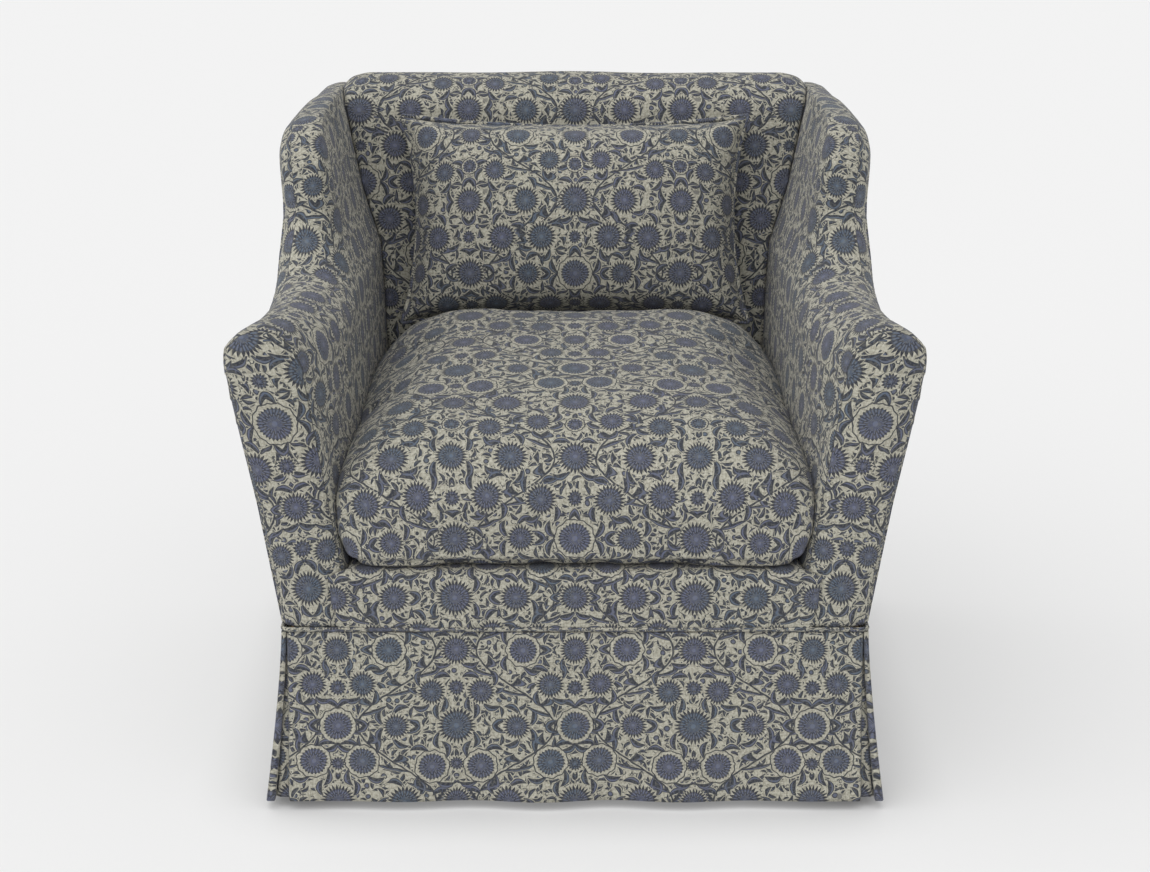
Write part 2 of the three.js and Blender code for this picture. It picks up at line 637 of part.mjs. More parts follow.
function glide(end) {
  const [x, y] = legPlace(end);
  const [r, nail] = [GLIDE_DIAMETER / 2, GLIDE_NAIL / 2];
  const top = GLIDE_HEIGHT + GLIDE_NAIL_LENGTH - 1;
  const disc = [[0, 0], [r - 3, 0], [r, 3], [r, GLIDE_HEIGHT]];
  const profile = [...disc, [nail, GLIDE_HEIGHT], [nail, top], [0, top]];
  const shape = profile.map(([radius, z]) => new THREE.Vector2(radius, z));
  return new THREE.LatheGeometry(shape, 12).rotateX(Math.PI / 2).translate(x, y, 0);
}

// Zigzag seat springs, hooked at both ends in clip bars on the front and back rails

const clipFrontY = (POST_FRONT + frontRailRear) / 2;
const clipRearY = (crossFront(RAIL_TOP) + backPostRear(RAIL_TOP)) / 2;
const springX = (i) => (i - (SPRING_COUNT - 1) / 2) * SPRING_SPACING;

function springPath(x) {
  const [start, end] = [clipFrontY + CLIP_WIDTH, clipRearY - CLIP_WIDTH];
  const straight = (y) => new THREE.Vector3(x, y, SPRING_HEIGHT);
  const hook = (y) => [straight(y - CLIP_WIDTH / 2), straight(y + CLIP_WIDTH / 2)];
  const bends = Array.from({ length: SPRING_WAVES * 4 + 1 }, (_, i) => {
    const share = i / (SPRING_WAVES * 4);
    const rise = SPRING_CROWN * Math.sin(Math.PI * share);
    const swing = [0, 1, 0, -1][i % 4] * SPRING_SWING;
    return new THREE.Vector3(x + swing, start + (end - start) * share, SPRING_HEIGHT + rise);
  });
  const points = [...hook(clipFrontY), ...bends, ...hook(clipRearY)];
  return new THREE.CatmullRomCurve3(points, false, 'catmullrom', 0.5);
}

function wireSection(radius, sides) {
  const corners = Array.from({ length: sides }, (_, i) => {
    const angle = (2 * Math.PI * (i + 0.5)) / sides;
    return new THREE.Vector2(Math.cos(angle) * radius, Math.sin(angle) * radius);
  });
  return new THREE.Shape(corners);
}

function seatSpring(x) {
  const options = { steps: SPRING_WAVES * 8 + 4, extrudePath: springPath(x), bevelEnabled: false };
  return new THREE.ExtrudeGeometry(wireSection(SPRING_WIRE / 2, 4), options);
}

function clipBar(y) {
  const reach = springX(SPRING_COUNT - 1) + CLIP_WIDTH;
  const [low, high] = [RAIL_TOP + GAP, RAIL_TOP + GAP + CLIP_HEIGHT];
  const bar = box([-reach, reach], [y - CLIP_WIDTH / 2, y + CLIP_WIDTH / 2], [low, high]);
  const w = SPRING_WIRE / 2 + GAP;
  const slots = Array.from({ length: SPRING_COUNT }, (_, i) => {
    const x = springX(i);
    return box([x - w, x + w], [y - CLIP_WIDTH, y + CLIP_WIDTH], [SPRING_HEIGHT - w, high + 1]);
  });
  return cut(bar, ...slots);
}

// Back webbing, seat deck, dust cloth

function backStrap(x) {
  const front = (z) => crossFront(z) - GAP - STRAP_THICKNESS;
  const rear = (z) => crossFront(z) - GAP;
  const ends = [TACK_RAIL_BOTTOM + 5, BACK_FRAME_TOP - 5];
  return across(uprightSlice(front, rear, ...ends), x - STRAP_WIDTH / 2, x + STRAP_WIDTH / 2);
}

function deckPad(space) {
  const [low, high] = [DECK_HEIGHT - DECK_THICKNESS, DECK_HEIGHT];
  const rear = insideBackAt(low) - 1;
  return cut(box([-HALF, HALF], [BORDER_LIP + FIT, rear], [low, high]), ...space);
}

function dustCloth() {
  const top = RAIL_BOTTOM - GAP;
  const rear = backPostRear(RAIL_BOTTOM) - BOARD / 2;
  const reach = framePlaneAt(SEAT_TO_BACK, RAIL_BOTTOM);
  const cloth = box([-reach, reach], [POST_FRONT + BOARD / 2, rear], [top - DUST_CLOTH, top]);
  const holes = [0, 1].flatMap((end) => {
    const [x, y] = legPlace(end);
    const w = LEG_TOP / 2 + 1;
    const hole = box([x - w, x + w], [y - w, y + w], [0, RAIL_BOTTOM]);
    return [hole, mirrored(hole)];
  });
  return cut(cloth, ...holes);
}

// Front border and back upholstery, cut to the inside of the arms and wings

function frontBorder(space) {
  const inner = POST_FRONT - FIT;
  const lip = DECK_HEIGHT - DECK_THICKNESS;
  const edge = DECK_THICKNESS - 2;
  const outline = [
    [0, BODY_BOTTOM],
    ...arc(edge, DECK_HEIGHT - edge, edge, edge, 180, 90, 4),
    [BORDER_LIP, DECK_HEIGHT],
    [BORDER_LIP, lip],
    [inner, lip],
    [inner, BODY_BOTTOM],
  ];
  const reach = insideAt(0, DECK_HEIGHT) + FRONT_SOFTNESS;
  return cut(across(outline, -reach, reach), ...space);
}

function backOutline() {
  const centre = BACK_HEIGHT - BACK_ROLL;
  const [front, rear] = [insideBackAt(centre), outsideBackAt(centre)];
  const cavity = (z) => crossFront(z) - STRAP_THICKNESS - 2 * FIT;
  const low = DECK_HEIGHT - DECK_THICKNESS;
  const [ceiling, step] = [BACK_FRAME_TOP + FIT, PANEL_TOP + GAP];
  return [
    [insideBackAt(low), low],
    ...arc((front + rear) / 2, centre, (rear - front) / 2, BACK_ROLL, 180, 0, 8),
    [outsideBackAt(step), step],
    [outsideBackAt(step) - BACK_PANEL - FIT, step],
    [outsideBackAt(ceiling) - BACK_PANEL - FIT, ceiling],
    [cavity(ceiling), ceiling],
    [cavity(low), low],
  ];
}

// Rounds the back's upper corners where they meet the wings.
const backReach = insideAt(SEAT_TO_BACK, BACK_HEIGHT) + BACK_CORNER * 0.2;
const shoulder = PANEL_TOP + GAP;

function dropCorners([x, y, z]) {
  const over = Math.max(0, Math.abs(x) - (backReach - BACK_CORNER));
  const drop = BACK_CORNER - Math.sqrt(Math.max(0, BACK_CORNER ** 2 - over ** 2));
  return [x, y, z - drop * interpolate([[shoulder, 0], [BACK_HEIGHT, 1]], z)];
}

function insideBack(space) {
  const stops = [0, 0.5, 0.8, 1].map((share) => backReach - BACK_CORNER * (1 - share));
  const columns = [...stops.slice(0, 3).map((x) => -x), ...stops.slice(0, 3)];
  const block = across(backOutline(), -backReach, backReach);
  const rounded = bent(sliced(sliced(block, 0, columns), 2, [shoulder]), dropCorners);
  return cut(rounded, ...space);
}

function outsideBack() {
  const front = (z) => outsideBackAt(z) - BACK_PANEL;
  const plate = across(uprightSlice(front, outsideBackAt, BODY_BOTTOM, PANEL_TOP), -1, 1);
  return bent(sliced(plate, 2, SIDE_LEVELS), ([x, y, z]) => [x * outsideAt(BASE_DEPTH, z), y, z]);
}

// Welt and skirt, which follow the base in plan

function roundedPlan(out, radius, steps = 5) {
  const [x, front, rear] = [HALF + out, -out, outsideBackAt(WELT_HEIGHT) + out];
  const corners = [[x, rear, 0], [-x, rear, 1], [-x, front, 2], [x, front, 3]];
  return corners.flatMap(([cx, cy, quarter]) => {
    const centreX = cx - Math.sign(cx) * radius;
    const centreY = quarter < 2 ? cy - radius : cy + radius;
    return Array.from({ length: steps + 1 }, (_, i) => {
      const angle = ((quarter + i / steps) * Math.PI) / 2;
      return [centreX + radius * Math.cos(angle), centreY + radius * Math.sin(angle)];
    });
  });
}

function baseWelt() {
  const path = roundedPlan(-SKIRT_SET, WELT_CORNER).map(([x, y]) => [x, y, WELT_HEIGHT]);
  return cordLoop(path, [0, 0, 1], WELT_RADIUS);
}

// A skirt panel in plan: a gently waved run with both ends folded back behind it.
function panelPlan(length, waves) {
  const turn = PLEAT_TURN;
  const run = length / 2 - turn;
  const swell = (share) => SKIRT_WAVE * Math.sin(Math.PI * share);
  const wave = (share) => swell(share) * Math.sin(2 * Math.PI * waves * share);
  const steps = waves * 6;
  const middle = Array.from({ length: steps - 1 }, (_, i) => {
    const share = (i + 1) / steps;
    return [run * (2 * share - 1), wave(share)];
  });
  return [
    [-run + PLEAT_RETURN, turn * 2],
    ...arc(-run, turn, turn, turn, 90, 270, 3),
    ...middle,
    ...arc(run, turn, turn, turn, -90, 90, 3),
    [run - PLEAT_RETURN, turn * 2],
  ];
}

// Gives a path in plan the thickness of the cloth.
function clothRing(path, thickness, z) {
  const offset = (side) => path.map((point, i) => {
    const before = path[Math.max(0, i - 1)];
    const after = path[Math.min(path.length - 1, i + 1)];
    const [dx, dy] = [after[0] - before[0], after[1] - before[1]];
    const length = Math.hypot(dx, dy);
    const step = (side * thickness) / 2 / length;
    return [point[0] - dy * step, point[1] + dx * step, z];
  });
  return [...offset(1), ...offset(-1).reverse()];
}

// A closed sheet: cloth rings joined from hem to top, its two ends closed strip by strip.
function clothSheet(rings) {
  const count = rings[0].length;
  const points = rings.flat();
  const index = [];
  rings.slice(1).forEach((_, i) => {
    for (let j = 0; j < count; j += 1) {
      const k = (j + 1) % count;
      const [low, high] = [i * count, (i + 1) * count];
      index.push(low + j, low + k, high + k, low + j, high + k, high + j);
    }
  });
  const top = (rings.length - 1) * count;
  for (let j = 0; j < count / 2 - 1; j += 1) {
    const [a, b, c, d] = [j, j + 1, count - 2 - j, count - 1 - j];
    index.push(a, c, b, a, d, c, top + a, top + b, top + c, top + a, top + c, top + d);
  }
  return facingOut(points, index);
}

// The panel hangs out from the welt; spread is how far its ends move out with it.
function skirtPanel(length, waves, flare, spread) {
  const path = panelPlan(length, waves);
  const rings = [0, 0.35, 0.7, 1].map((share) => {
    const z = HEM_HEIGHT + (SKIRT_TOP - HEM_HEIGHT) * share;
    const out = flare * (1 - share) ** 1.3;
    const longer = 1 + (2 * out * spread) / length;
    const fuller = 1 + PLEAT_SWELL * (1 - share);
    return clothRing(path.map(([x, y]) => [x * longer, y * fuller - out]), SKIRT_CLOTH, z);
  });
  return clothSheet(rings);
}

const layerStep = 2 * PLEAT_TURN + SKIRT_CLOTH + PLEAT_GAP;
const skirtRear = outsideBackAt(WELT_HEIGHT) - SKIRT_SET;

function endPanel(turns, y) {
  const length = BASE_WIDTH - 2 * (SKIRT_SET + layerStep);
  return skirtPanel(length, 4, SKIRT_FLARE, 0.3).rotateZ(turns * Math.PI).translate(0, y, 0);
}

function sidePanel() {
  const spread = SKIRT_FLARE / SIDE_SKIRT_FLARE;
  const panel = skirtPanel(skirtRear - SKIRT_SET, 4, SIDE_SKIRT_FLARE, spread).rotateZ(Math.PI / 2);
  return panel.translate(HALF - SKIRT_SET, (skirtRear + SKIRT_SET) / 2, 0);
}

function pleatUnderlay(end) {
  const x = HALF - SKIRT_SET - layerStep;
  const y = end === 0 ? SKIRT_SET + layerStep : skirtRear - layerStep;
  const inward = end === 0 ? 1 : -1;
  const path = [[x - PLEAT_REACH, y], [x - 4, y], [x, y + inward * 4], [x, y + inward * PLEAT_REACH]];
  const hem = HEM_HEIGHT + 2;
  const rings = [0, 1].map((share) => {
    const fallen = PLEAT_FOLLOW * (1 - share);
    const [outX, outY] = [SIDE_SKIRT_FLARE * fallen, SKIRT_FLARE * fallen];
    const place = path.map(([px, py]) => [px + outX, py - inward * outY]);
    return clothRing(place, SKIRT_CLOTH, hem + (SKIRT_TOP - hem) * share);
  });
  return clothSheet(rings);
}

// Loose seat cushion: a rounded plan, flat below, crowned above

const cushionRearAt = SEAT_TO_BACK - CUSHION_REAR_GAP;

function cushionRing(reach, z, shrink) {
  const [front, rear] = [CUSHION_FRONT + shrink, cushionRearAt - shrink];
  const [centre, length] = [(front + rear) / 2, (rear - front) / 2];
  const rise = CUSHION_TILT * Math.max(0, (z - CUSHION_SEAM) / CUSHION_CROWN);
  const count = 32;
  return Array.from({ length: count }, (_, i) => {
    const angle = (2 * Math.PI * i) / count;
    const square = (value) => Math.sign(value) * Math.abs(value) ** 0.3;
    const y = centre + length * reach * square(Math.sin(angle));
    const width = insideAt(y, Math.min(z, CUSHION_SEAM)) - CUSHION_SIDE_GAP - shrink;
    return [width * reach * square(Math.cos(angle)), y, z + rise * (y - centre)];
  });
}

function cushionBody(shrink) {
  const depth = CUSHION_SEAM - DECK_HEIGHT - FIT - shrink;
  const crown = CUSHION_CROWN - shrink;
  const below = (reach) => CUSHION_SEAM - depth * Math.sqrt(1 - reach ** 60);
  const above = (reach) => CUSHION_SEAM + crown * Math.sqrt(1 - reach ** CUSHION_FULLNESS);
  const lower = [0.5, 0.97, 0.99].map((reach) => cushionRing(reach, below(reach), shrink));
  const upper = [1, 0.985, 0.94, 0.85, 0.7, 0.4];
  return loft([...lower, ...upper.map((reach) => cushionRing(reach, above(reach), shrink))]);
}

// Back pillow: two full faces that meet in a thin edge, corners standing out

function pillowPoint(s, t, shrink) {
  const width = (PILLOW_WIDTH / 2 - shrink) * (1 - PILLOW_DRAW * (1 - t * t));
  const height = (PILLOW_HEIGHT / 2 - shrink) * (1 - PILLOW_DRAW * 1.2 * (1 - s * s));
  return [s * width, t * height];
}

function pillowBody(shrink) {
  const [columns, rows] = PILLOW_GRID;
  const spread = (i, count) => Math.sin((Math.PI / 2) * ((2 * i) / count - 1));
  const points = [];
  const index = [];
  for (const side of [-1, 1]) {
    for (let j = 0; j <= rows; j += 1) {
      for (let i = 0; i <= columns; i += 1) {
        const [s, t] = [spread(i, columns), spread(j, rows)];
        const fullness = (Math.max(0, (1 - s * s) * (1 - t * t))) ** 0.42;
        const depth = (side < 0 ? PILLOW_BELLY : PILLOW_REST) - shrink;
        const [x, z] = pillowPoint(s, t, shrink);
        points.push([x, side * depth * fullness, z]);
      }
    }
  }
  const layer = (rows + 1) * (columns + 1);
  for (let j = 0; j < rows; j += 1) {
    for (let i = 0; i < columns; i += 1) {
      const a = j * (columns + 1) + i;
      const [b, c, d] = [a + 1, a + columns + 2, a + columns + 1];
      index.push(a, b, c, a, c, d);
      index.push(...[a, c, b, a, d, c].map((corner) => layer + corner));
    }
  }
  return welded(facingOut(points, index));
}

const pillowLean = THREE.MathUtils.degToRad(PILLOW_TILT);
const pillowFoot = CUSHION_SEAM + CUSHION_CROWN * PILLOW_FOOT - PILLOW_SINK;
const pillowCentreZ = pillowFoot + (PILLOW_HEIGHT / 2) * Math.cos(pillowLean);
const pillowCentreY = insideBackAt(pillowCentreZ) - PILLOW_REST - PILLOW_LEAN_GAP;

function leanPillow(geometry) {
  return geometry.rotateX(-pillowLean).translate(0, pillowCentreY, pillowCentreZ);
}

function pillowPiping() {
  const out = PIPING_RADIUS + GAP;
  const path = [0, 1, 2, 3].flatMap((side) => {
    const count = PILLOW_GRID[side % 2];
    return Array.from({ length: count }, (_, i) => {
      const along = Math.sin((Math.PI / 2) * ((2 * i) / count - 1));
      const [s, t] = [[along, -1], [1, along], [-along, 1], [-1, -along]][side];
      const [x, z] = pillowPoint(s, t, 0);
      const away = (share) => (Math.abs(share) > 0.999 ? Math.sign(share) * out : 0);
      return [x + away(s), 0, z + away(t)];
    });
  });
  return leanPillow(cordLoop(path, [0, 1, 0], PIPING_RADIUS, 5));
}

// A cover is a thin shell with a zip slot; the zip closes the slot and the filling lies inside.
function coverSet(body, slot, slimSlot) {
  const wall = cut(body(0), body(COVER_WALL));
  return { cover: cut(wall, slot), zip: common(wall, slimSlot), filling: body(COVER_WALL + FIT) };
}

function cushionSet() {
  const slot = (grow) => box(
    [-ZIP_LENGTH / 2 - grow, ZIP_LENGTH / 2 + grow],
    [cushionRearAt - CUSHION_CROWN / 3, cushionRearAt + ZIP_WIDTH],
    [CUSHION_SEAM - ZIP_WIDTH / 2 - grow, CUSHION_SEAM + ZIP_WIDTH / 2 + grow],
  );
  return coverSet(cushionBody, slot(GAP), slot(0));
}

const pillowZipAt = -PILLOW_HEIGHT * PILLOW_ZIP;

function pillowSet() {
  const slot = (grow) => box(
    [-ZIP_LENGTH / 4 - grow, ZIP_LENGTH / 4 + grow],
    [0, PILLOW_REST],
    [pillowZipAt - ZIP_WIDTH / 2 - grow, pillowZipAt + ZIP_WIDTH / 2 + grow],
  );
  const set = coverSet(pillowBody, slot(GAP), slot(0));
  return Object.fromEntries(Object.entries(set).map(([name, piece]) => [name, leanPillow(piece)]));
}

// Materials

function finish(colour, roughness, metalness = 0) {
  return new THREE.MeshStandardMaterial({ color: colour, roughness, metalness });
}

const materials = {
  print: () => finish(0x85868c, 0.92),
  lining: () => finish(0xd8d0bd, 0.95),
  foam: () => finish(0xe9e2c8, 0.98),
  feather: () => finish(0xf1eee6, 0.98),
  beech: () => finish(0xc9a271, 0.7),
  darkWood: () => finish(0x4a3322, 0.5),
  steel: () => finish(0x9a9da0, 0.4, 0.9),
  webbing: () => finish(0x8a7b5c, 0.95),
  black: () => finish(0x26272a, 0.9),
  nylon: () => finish(0xdcdcd6, 0.5),
};

// Assembly

const chair = new THREE.Group();

function add(name, geometry, material) {
  const mesh = new THREE.Mesh(geometry, materials[material]());
  mesh.name = name;
  chair.add(mesh);
}

function addPair(name, geometry, material) {
  add(`right_${name}`, geometry, material);
  add(`left_${name}`, mirrored(geometry), material);
}

const boards = sideBoards();
const { rails, mortises } = crossRails();
const space = [sideSpace(), mirrored(sideSpace())];

addPair('arm_post', cut(boards.armPost, ...mortises), 'beech');
addPair('back_post', cut(boards.backPost, ...mortises), 'beech');
addPair('side_rail', boards.sideRail, 'beech');
addPair('arm_rail', boards.armRail, 'beech');
addPair('wing_board', boards.wingBoard, 'beech');
add('front_rail', rails.front, 'beech');
add('back_rail', rails.back, 'beech');
add('back_tack_rail', rails.tack, 'beech');
add('back_top_rail', rails.top, 'beech');
for (const [end, word] of ['front', 'rear'].entries()) {
  addPair(`${word}_corner_block`, cornerBlock(end), 'beech');
  addPair(`${word}_leg`, leg(end), 'darkWood');
  addPair(`${word}_glide`, glide(end), 'nylon');
}
for (let i = 0; i < SPRING_COUNT; i += 1) {
  add(`seat_spring_${i + 1}`, seatSpring(springX(i)), 'steel');
}
add('front_clip_bar', clipBar(clipFrontY), 'steel');
add('rear_clip_bar', clipBar(clipRearY), 'steel');
for (let i = 0; i < STRAP_COUNT; i += 1) {
  add(`back_strap_${i + 1}`, backStrap((i - (STRAP_COUNT - 1) / 2) * STRAP_SPACING), 'webbing');
}
add('dust_cloth', dustCloth(), 'black');
add('deck_pad', deckPad(space), 'lining');
add('front_border', frontBorder(space), 'print');
add('inside_back', insideBack(space), 'print');
add('outside_back', outsideBack(), 'print');
addPair('arm_and_wing_pad', sidePad(...railSpaces()), 'print');
addPair('outside_arm_panel', outsideArmPanel(), 'print');
add('base_welt', baseWelt(), 'print');

add('front_skirt', endPanel(0, SKIRT_SET), 'print');
add('rear_skirt', endPanel(1, skirtRear), 'print');
addPair('side_skirt', sidePanel(), 'print');
addPair('front_pleat_underlay', pleatUnderlay(0), 'print');
addPair('rear_pleat_underlay', pleatUnderlay(1), 'print');

const cushion = cushionSet();
add('seat_cushion_cover', cushion.cover, 'print');
add('seat_cushion_filling', cushion.filling, 'foam');
add('seat_cushion_zip', cushion.zip, 'black');
const pillow = pillowSet();
add('back_pillow_cover', pillow.cover, 'print');
add('back_pillow_filling', pillow.filling, 'feather');
add('back_pillow_zip', pillow.zip, 'black');
add('back_pillow_piping', pillowPiping(), 'print');

// The origin is on the floor under the middle of the chair.
const extent = new THREE.Box3().setFromObject(chair);
const middle = extent.getCenter(new THREE.Vector3());
chair.position.set(-middle.x, -middle.y, -extent.min.z);

export default chair;
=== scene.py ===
# %% [markdown]
# # Dressing a skirted armchair
# The solids of this chair come from model.glb: frame, springs, pads, skirt, cushion and
# pillow. Here they get their cloth. Hard pieces keep their solid and only take a material.
# Soft ones are built again with rounder, fuller forms in the same place, because cloth over
# wadding is never as crisp as a solid.

# %% Load the imported chair
import math

import bmesh
import bpy
import numpy as np
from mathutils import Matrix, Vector
from mathutils.bvhtree import BVHTree


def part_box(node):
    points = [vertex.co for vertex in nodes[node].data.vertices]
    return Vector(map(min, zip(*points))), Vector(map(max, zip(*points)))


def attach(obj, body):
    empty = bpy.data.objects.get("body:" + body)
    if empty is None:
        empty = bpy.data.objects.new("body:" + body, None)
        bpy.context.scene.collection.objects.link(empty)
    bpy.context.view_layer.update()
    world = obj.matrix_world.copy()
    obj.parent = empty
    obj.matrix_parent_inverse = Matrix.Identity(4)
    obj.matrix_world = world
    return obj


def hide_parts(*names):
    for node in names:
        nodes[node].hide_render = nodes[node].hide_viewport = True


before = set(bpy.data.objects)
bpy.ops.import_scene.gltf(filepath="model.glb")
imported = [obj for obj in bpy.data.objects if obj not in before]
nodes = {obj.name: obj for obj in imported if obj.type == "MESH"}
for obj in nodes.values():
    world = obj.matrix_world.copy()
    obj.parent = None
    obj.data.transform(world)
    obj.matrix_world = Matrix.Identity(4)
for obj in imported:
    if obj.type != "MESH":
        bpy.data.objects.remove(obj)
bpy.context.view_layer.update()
bpy.ops.object.select_all(action="DESELECT")

# %% [markdown]
# ## Camera, floor and light
# The photograph looks down a little at the middle of the chair, with a long lens. A camera
# 2.6 metres in front of the chair, 1.27 metres up and turned 17 degrees down gives the same
# lines, and its lens gives the same size. The floor alone fills the view behind the chair.

# %% Camera
CAMERA_DISTANCE, CAMERA_HEIGHT, CAMERA_PITCH = 2.627, 1.268, 17
front_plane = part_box("front_border")[0].y

camera_data = bpy.data.cameras.new("camera")
camera_data.lens, camera_data.sensor_width = 75.13, 36
camera = bpy.data.objects.new("camera", camera_data)
camera.location = (0, front_plane - CAMERA_DISTANCE, CAMERA_HEIGHT)
camera.rotation_euler = (math.radians(90 - CAMERA_PITCH), 0, 0)
bpy.context.scene.collection.objects.link(camera)
bpy.context.scene.camera = camera
bpy.context.scene.view_settings.view_transform = "Standard"
print("camera at", [round(x, 3) for x in camera.location])

# %% [markdown]
# A plain studio is an even sky, one large soft lamp high on the left and a weaker one in
# front, which lights the pillow inside the arms. Together they light a level surface at a
# strength of about one, so each colour comes out as it is written. The floor is pale grey.
# The photograph's own shadow is thin but dark right under the hem, so for the camera the
# floor also shines a little by itself, except where something stands close over it. That
# thins the wide shadow, keeps the narrow one, and adds no light to the chair. In low views
# the sky shows past the floor, so for the camera alone it is as pale as the floor.

# %% Floor and light
SKY_LEVEL, SKY_SEEN = 0.62, 0.89
LAMPS = {"key": ((-0.7, -0.45, 1.0), 1.3, 90), "fill": ((0.1, -0.85, 1.05), 0.60, 70)}
FLOOR_TONE, FLOOR_OWN_LIGHT, CONTACT = 0.85, 0.40, 0.10

bpy.ops.mesh.primitive_plane_add(size=60, location=(0, 10, 0))
floor = bpy.context.active_object
floor.name = "floor"
floor_material = bpy.data.materials.new("floor")
floor_material.use_nodes = True
floor_tree = floor_material.node_tree
floor_shader = floor_tree.nodes["Principled BSDF"]
floor_shader.inputs["Base Color"].default_value = (FLOOR_TONE, FLOOR_TONE, FLOOR_TONE, 1)
floor_shader.inputs["Roughness"].default_value = 1
floor_shader.inputs["Specular IOR Level"].default_value = 0
own_light = floor_tree.nodes.new("ShaderNodeEmission")
own_light.inputs["Color"].default_value = (FLOOR_TONE, FLOOR_TONE, FLOOR_TONE, 1)
openness = floor_tree.nodes.new("ShaderNodeAmbientOcclusion")
openness.inputs["Distance"].default_value = CONTACT
floor_tree.links.new(openness.outputs["AO"], own_light.inputs["Strength"])
rays = floor_tree.nodes.new("ShaderNodeLightPath")
share = floor_tree.nodes.new("ShaderNodeMath")
share.operation = "MULTIPLY"
share.inputs[1].default_value = FLOOR_OWN_LIGHT
blend = floor_tree.nodes.new("ShaderNodeMixShader")
floor_tree.links.new(rays.outputs["Is Camera Ray"], share.inputs[0])
floor_tree.links.new(share.outputs[0], blend.inputs["Fac"])
floor_tree.links.new(floor_shader.outputs[0], blend.inputs[1])
floor_tree.links.new(own_light.outputs[0], blend.inputs[2])
floor_tree.links.new(blend.outputs[0], floor_tree.nodes["Material Output"].inputs["Surface"])
floor.data.materials.append(floor_material)

world = bpy.data.worlds.new("sky")
world.use_nodes = True
world.node_tree.nodes["Background"].inputs["Color"].default_value = (1, 1, 1, 1)
sky_tree = world.node_tree
seen = sky_tree.nodes.new("ShaderNodeLightPath")
level = sky_tree.nodes.new("ShaderNodeMath")
level.operation = "MULTIPLY_ADD"
level.inputs[1].default_value, level.inputs[2].default_value = SKY_SEEN - SKY_LEVEL, SKY_LEVEL
sky_tree.links.new(seen.outputs["Is Camera Ray"], level.inputs[0])
sky_tree.links.new(level.outputs[0], sky_tree.nodes["Background"].inputs["Strength"])
bpy.context.scene.world = world

for name, (way, strength, spread) in LAMPS.items():
    lamp_data = bpy.data.lights.new(name, "SUN")
    lamp_data.energy, lamp_data.angle = strength, math.radians(spread)
    lamp = bpy.data.objects.new(name, lamp_data)
    lamp.rotation_euler = Vector(way).to_track_quat("Z", "Y").to_euler()
    bpy.context.scene.collection.objects.link(lamp)
print("sky", SKY_LEVEL, "lamps", list(LAMPS))

# %% [markdown]
# ## Sums that become nodes
# A printed cloth has a drawing on it, and here the drawing is worked out by nodes: how far
# is this point from that flower, and is it inside a leaf? Wiring a hundred Math nodes by
# hand is slow and hard to read, so a small class stands for one number in a tree. A sum
# written with it in Python adds the Math nodes that work the same sum out.

# %% A number in a node tree
class Amount:
    def __init__(self, tree, socket):
        self.tree, self.socket = tree, socket

    def __add__(self, other):
        return worked(self.tree, "ADD", self, other)

    def __sub__(self, other):
        return worked(self.tree, "SUBTRACT", self, other)

    def __mul__(self, other):
        return worked(self.tree, "MULTIPLY", self, other)

    def __truediv__(self, other):
        return worked(self.tree, "DIVIDE", self, other)

    def __rsub__(self, other):
        return worked(self.tree, "SUBTRACT", other, self)

    def __rtruediv__(self, other):
        return worked(self.tree, "DIVIDE", other, self)

    __radd__, __rmul__ = __add__, __mul__


def feed(tree, value, slot):
    if isinstance(value, Amount):
        tree.links.new(value.socket, slot)
    else:
        slot.default_value = value


def worked(tree, operation, *values):
    node = tree.nodes.new("ShaderNodeMath")
    node.operation = operation
    for value, slot in zip(values, node.inputs):
        feed(tree, value, slot)
    return Amount(tree, node.outputs[0])


print("sums ready")

# %% Named sums
def size_of(x):
    return worked(x.tree, "ABSOLUTE", x)


def share_of(x):
    return worked(x.tree, "FRACT", x)


def larger(x, y):
    return worked(x.tree, "MAXIMUM", x, y)


def smaller(x, y):
    return worked(x.tree, "MINIMUM", x, y)


def length_of(x, y):
    return worked(x.tree, "SQRT", x * x + y * y)


def turn_of(x, y):
    """Direction of a point, as a share of one full turn."""
    return worked(x.tree, "ARCTAN2", y, x) / (2 * math.pi)


def whole_of(x):
    return worked(x.tree, "FLOOR", x)


def inside(distance, soft=0.5):
    """1 where a distance is below nothing, 0 above, with an edge as soft as ink on cloth."""
    node = worked(distance.tree, "MULTIPLY_ADD", distance, -1 / soft, 0.5)
    node.socket.node.use_clamp = True
    return node


def without(mask, other):
    return mask * (1 - other)


print("named sums ready")

# %% Groups with named sockets
KINDS = {"number": "NodeSocketFloat", "vector": "NodeSocketVector", "colour": "NodeSocketColor"}


def new_group(name, takes, gives):
    """An empty node group, its inputs by name, and a dictionary to hand its results back."""
    group = bpy.data.node_groups.new(name, "ShaderNodeTree")
    for label, (kind, start) in takes.items():
        socket = group.interface.new_socket(label, in_out="INPUT", socket_type=KINDS[kind])
        socket.default_value = start
    for label, kind in gives.items():
        group.interface.new_socket(label, in_out="OUTPUT", socket_type=KINDS[kind])
    entry = group.nodes.new("NodeGroupInput")
    leave = group.nodes.new("NodeGroupOutput")
    given = {label: Amount(group, entry.outputs[label]) for label in takes}
    return group, given, leave


def hand_back(group, leave, **results):
    for label, value in results.items():
        feed(group, value, leave.inputs[label])


def place_group(tree, group, **values):
    node = tree.nodes.new("ShaderNodeGroup")
    node.node_tree = group
    for label, value in values.items():
        feed(tree, value, node.inputs[label])
    return {socket.name: Amount(tree, socket) for socket in node.outputs}


def parts_of(tree, vector):
    node = tree.nodes.new("ShaderNodeSeparateXYZ")
    tree.links.new(vector.socket, node.inputs[0])
    return [Amount(tree, socket) for socket in node.outputs]


def vector_of(tree, x, y, z=0.0):
    node = tree.nodes.new("ShaderNodeCombineXYZ")
    for value, slot in zip((x, y, z), node.inputs):
        feed(tree, value, slot)
    return Amount(tree, node.outputs[0])


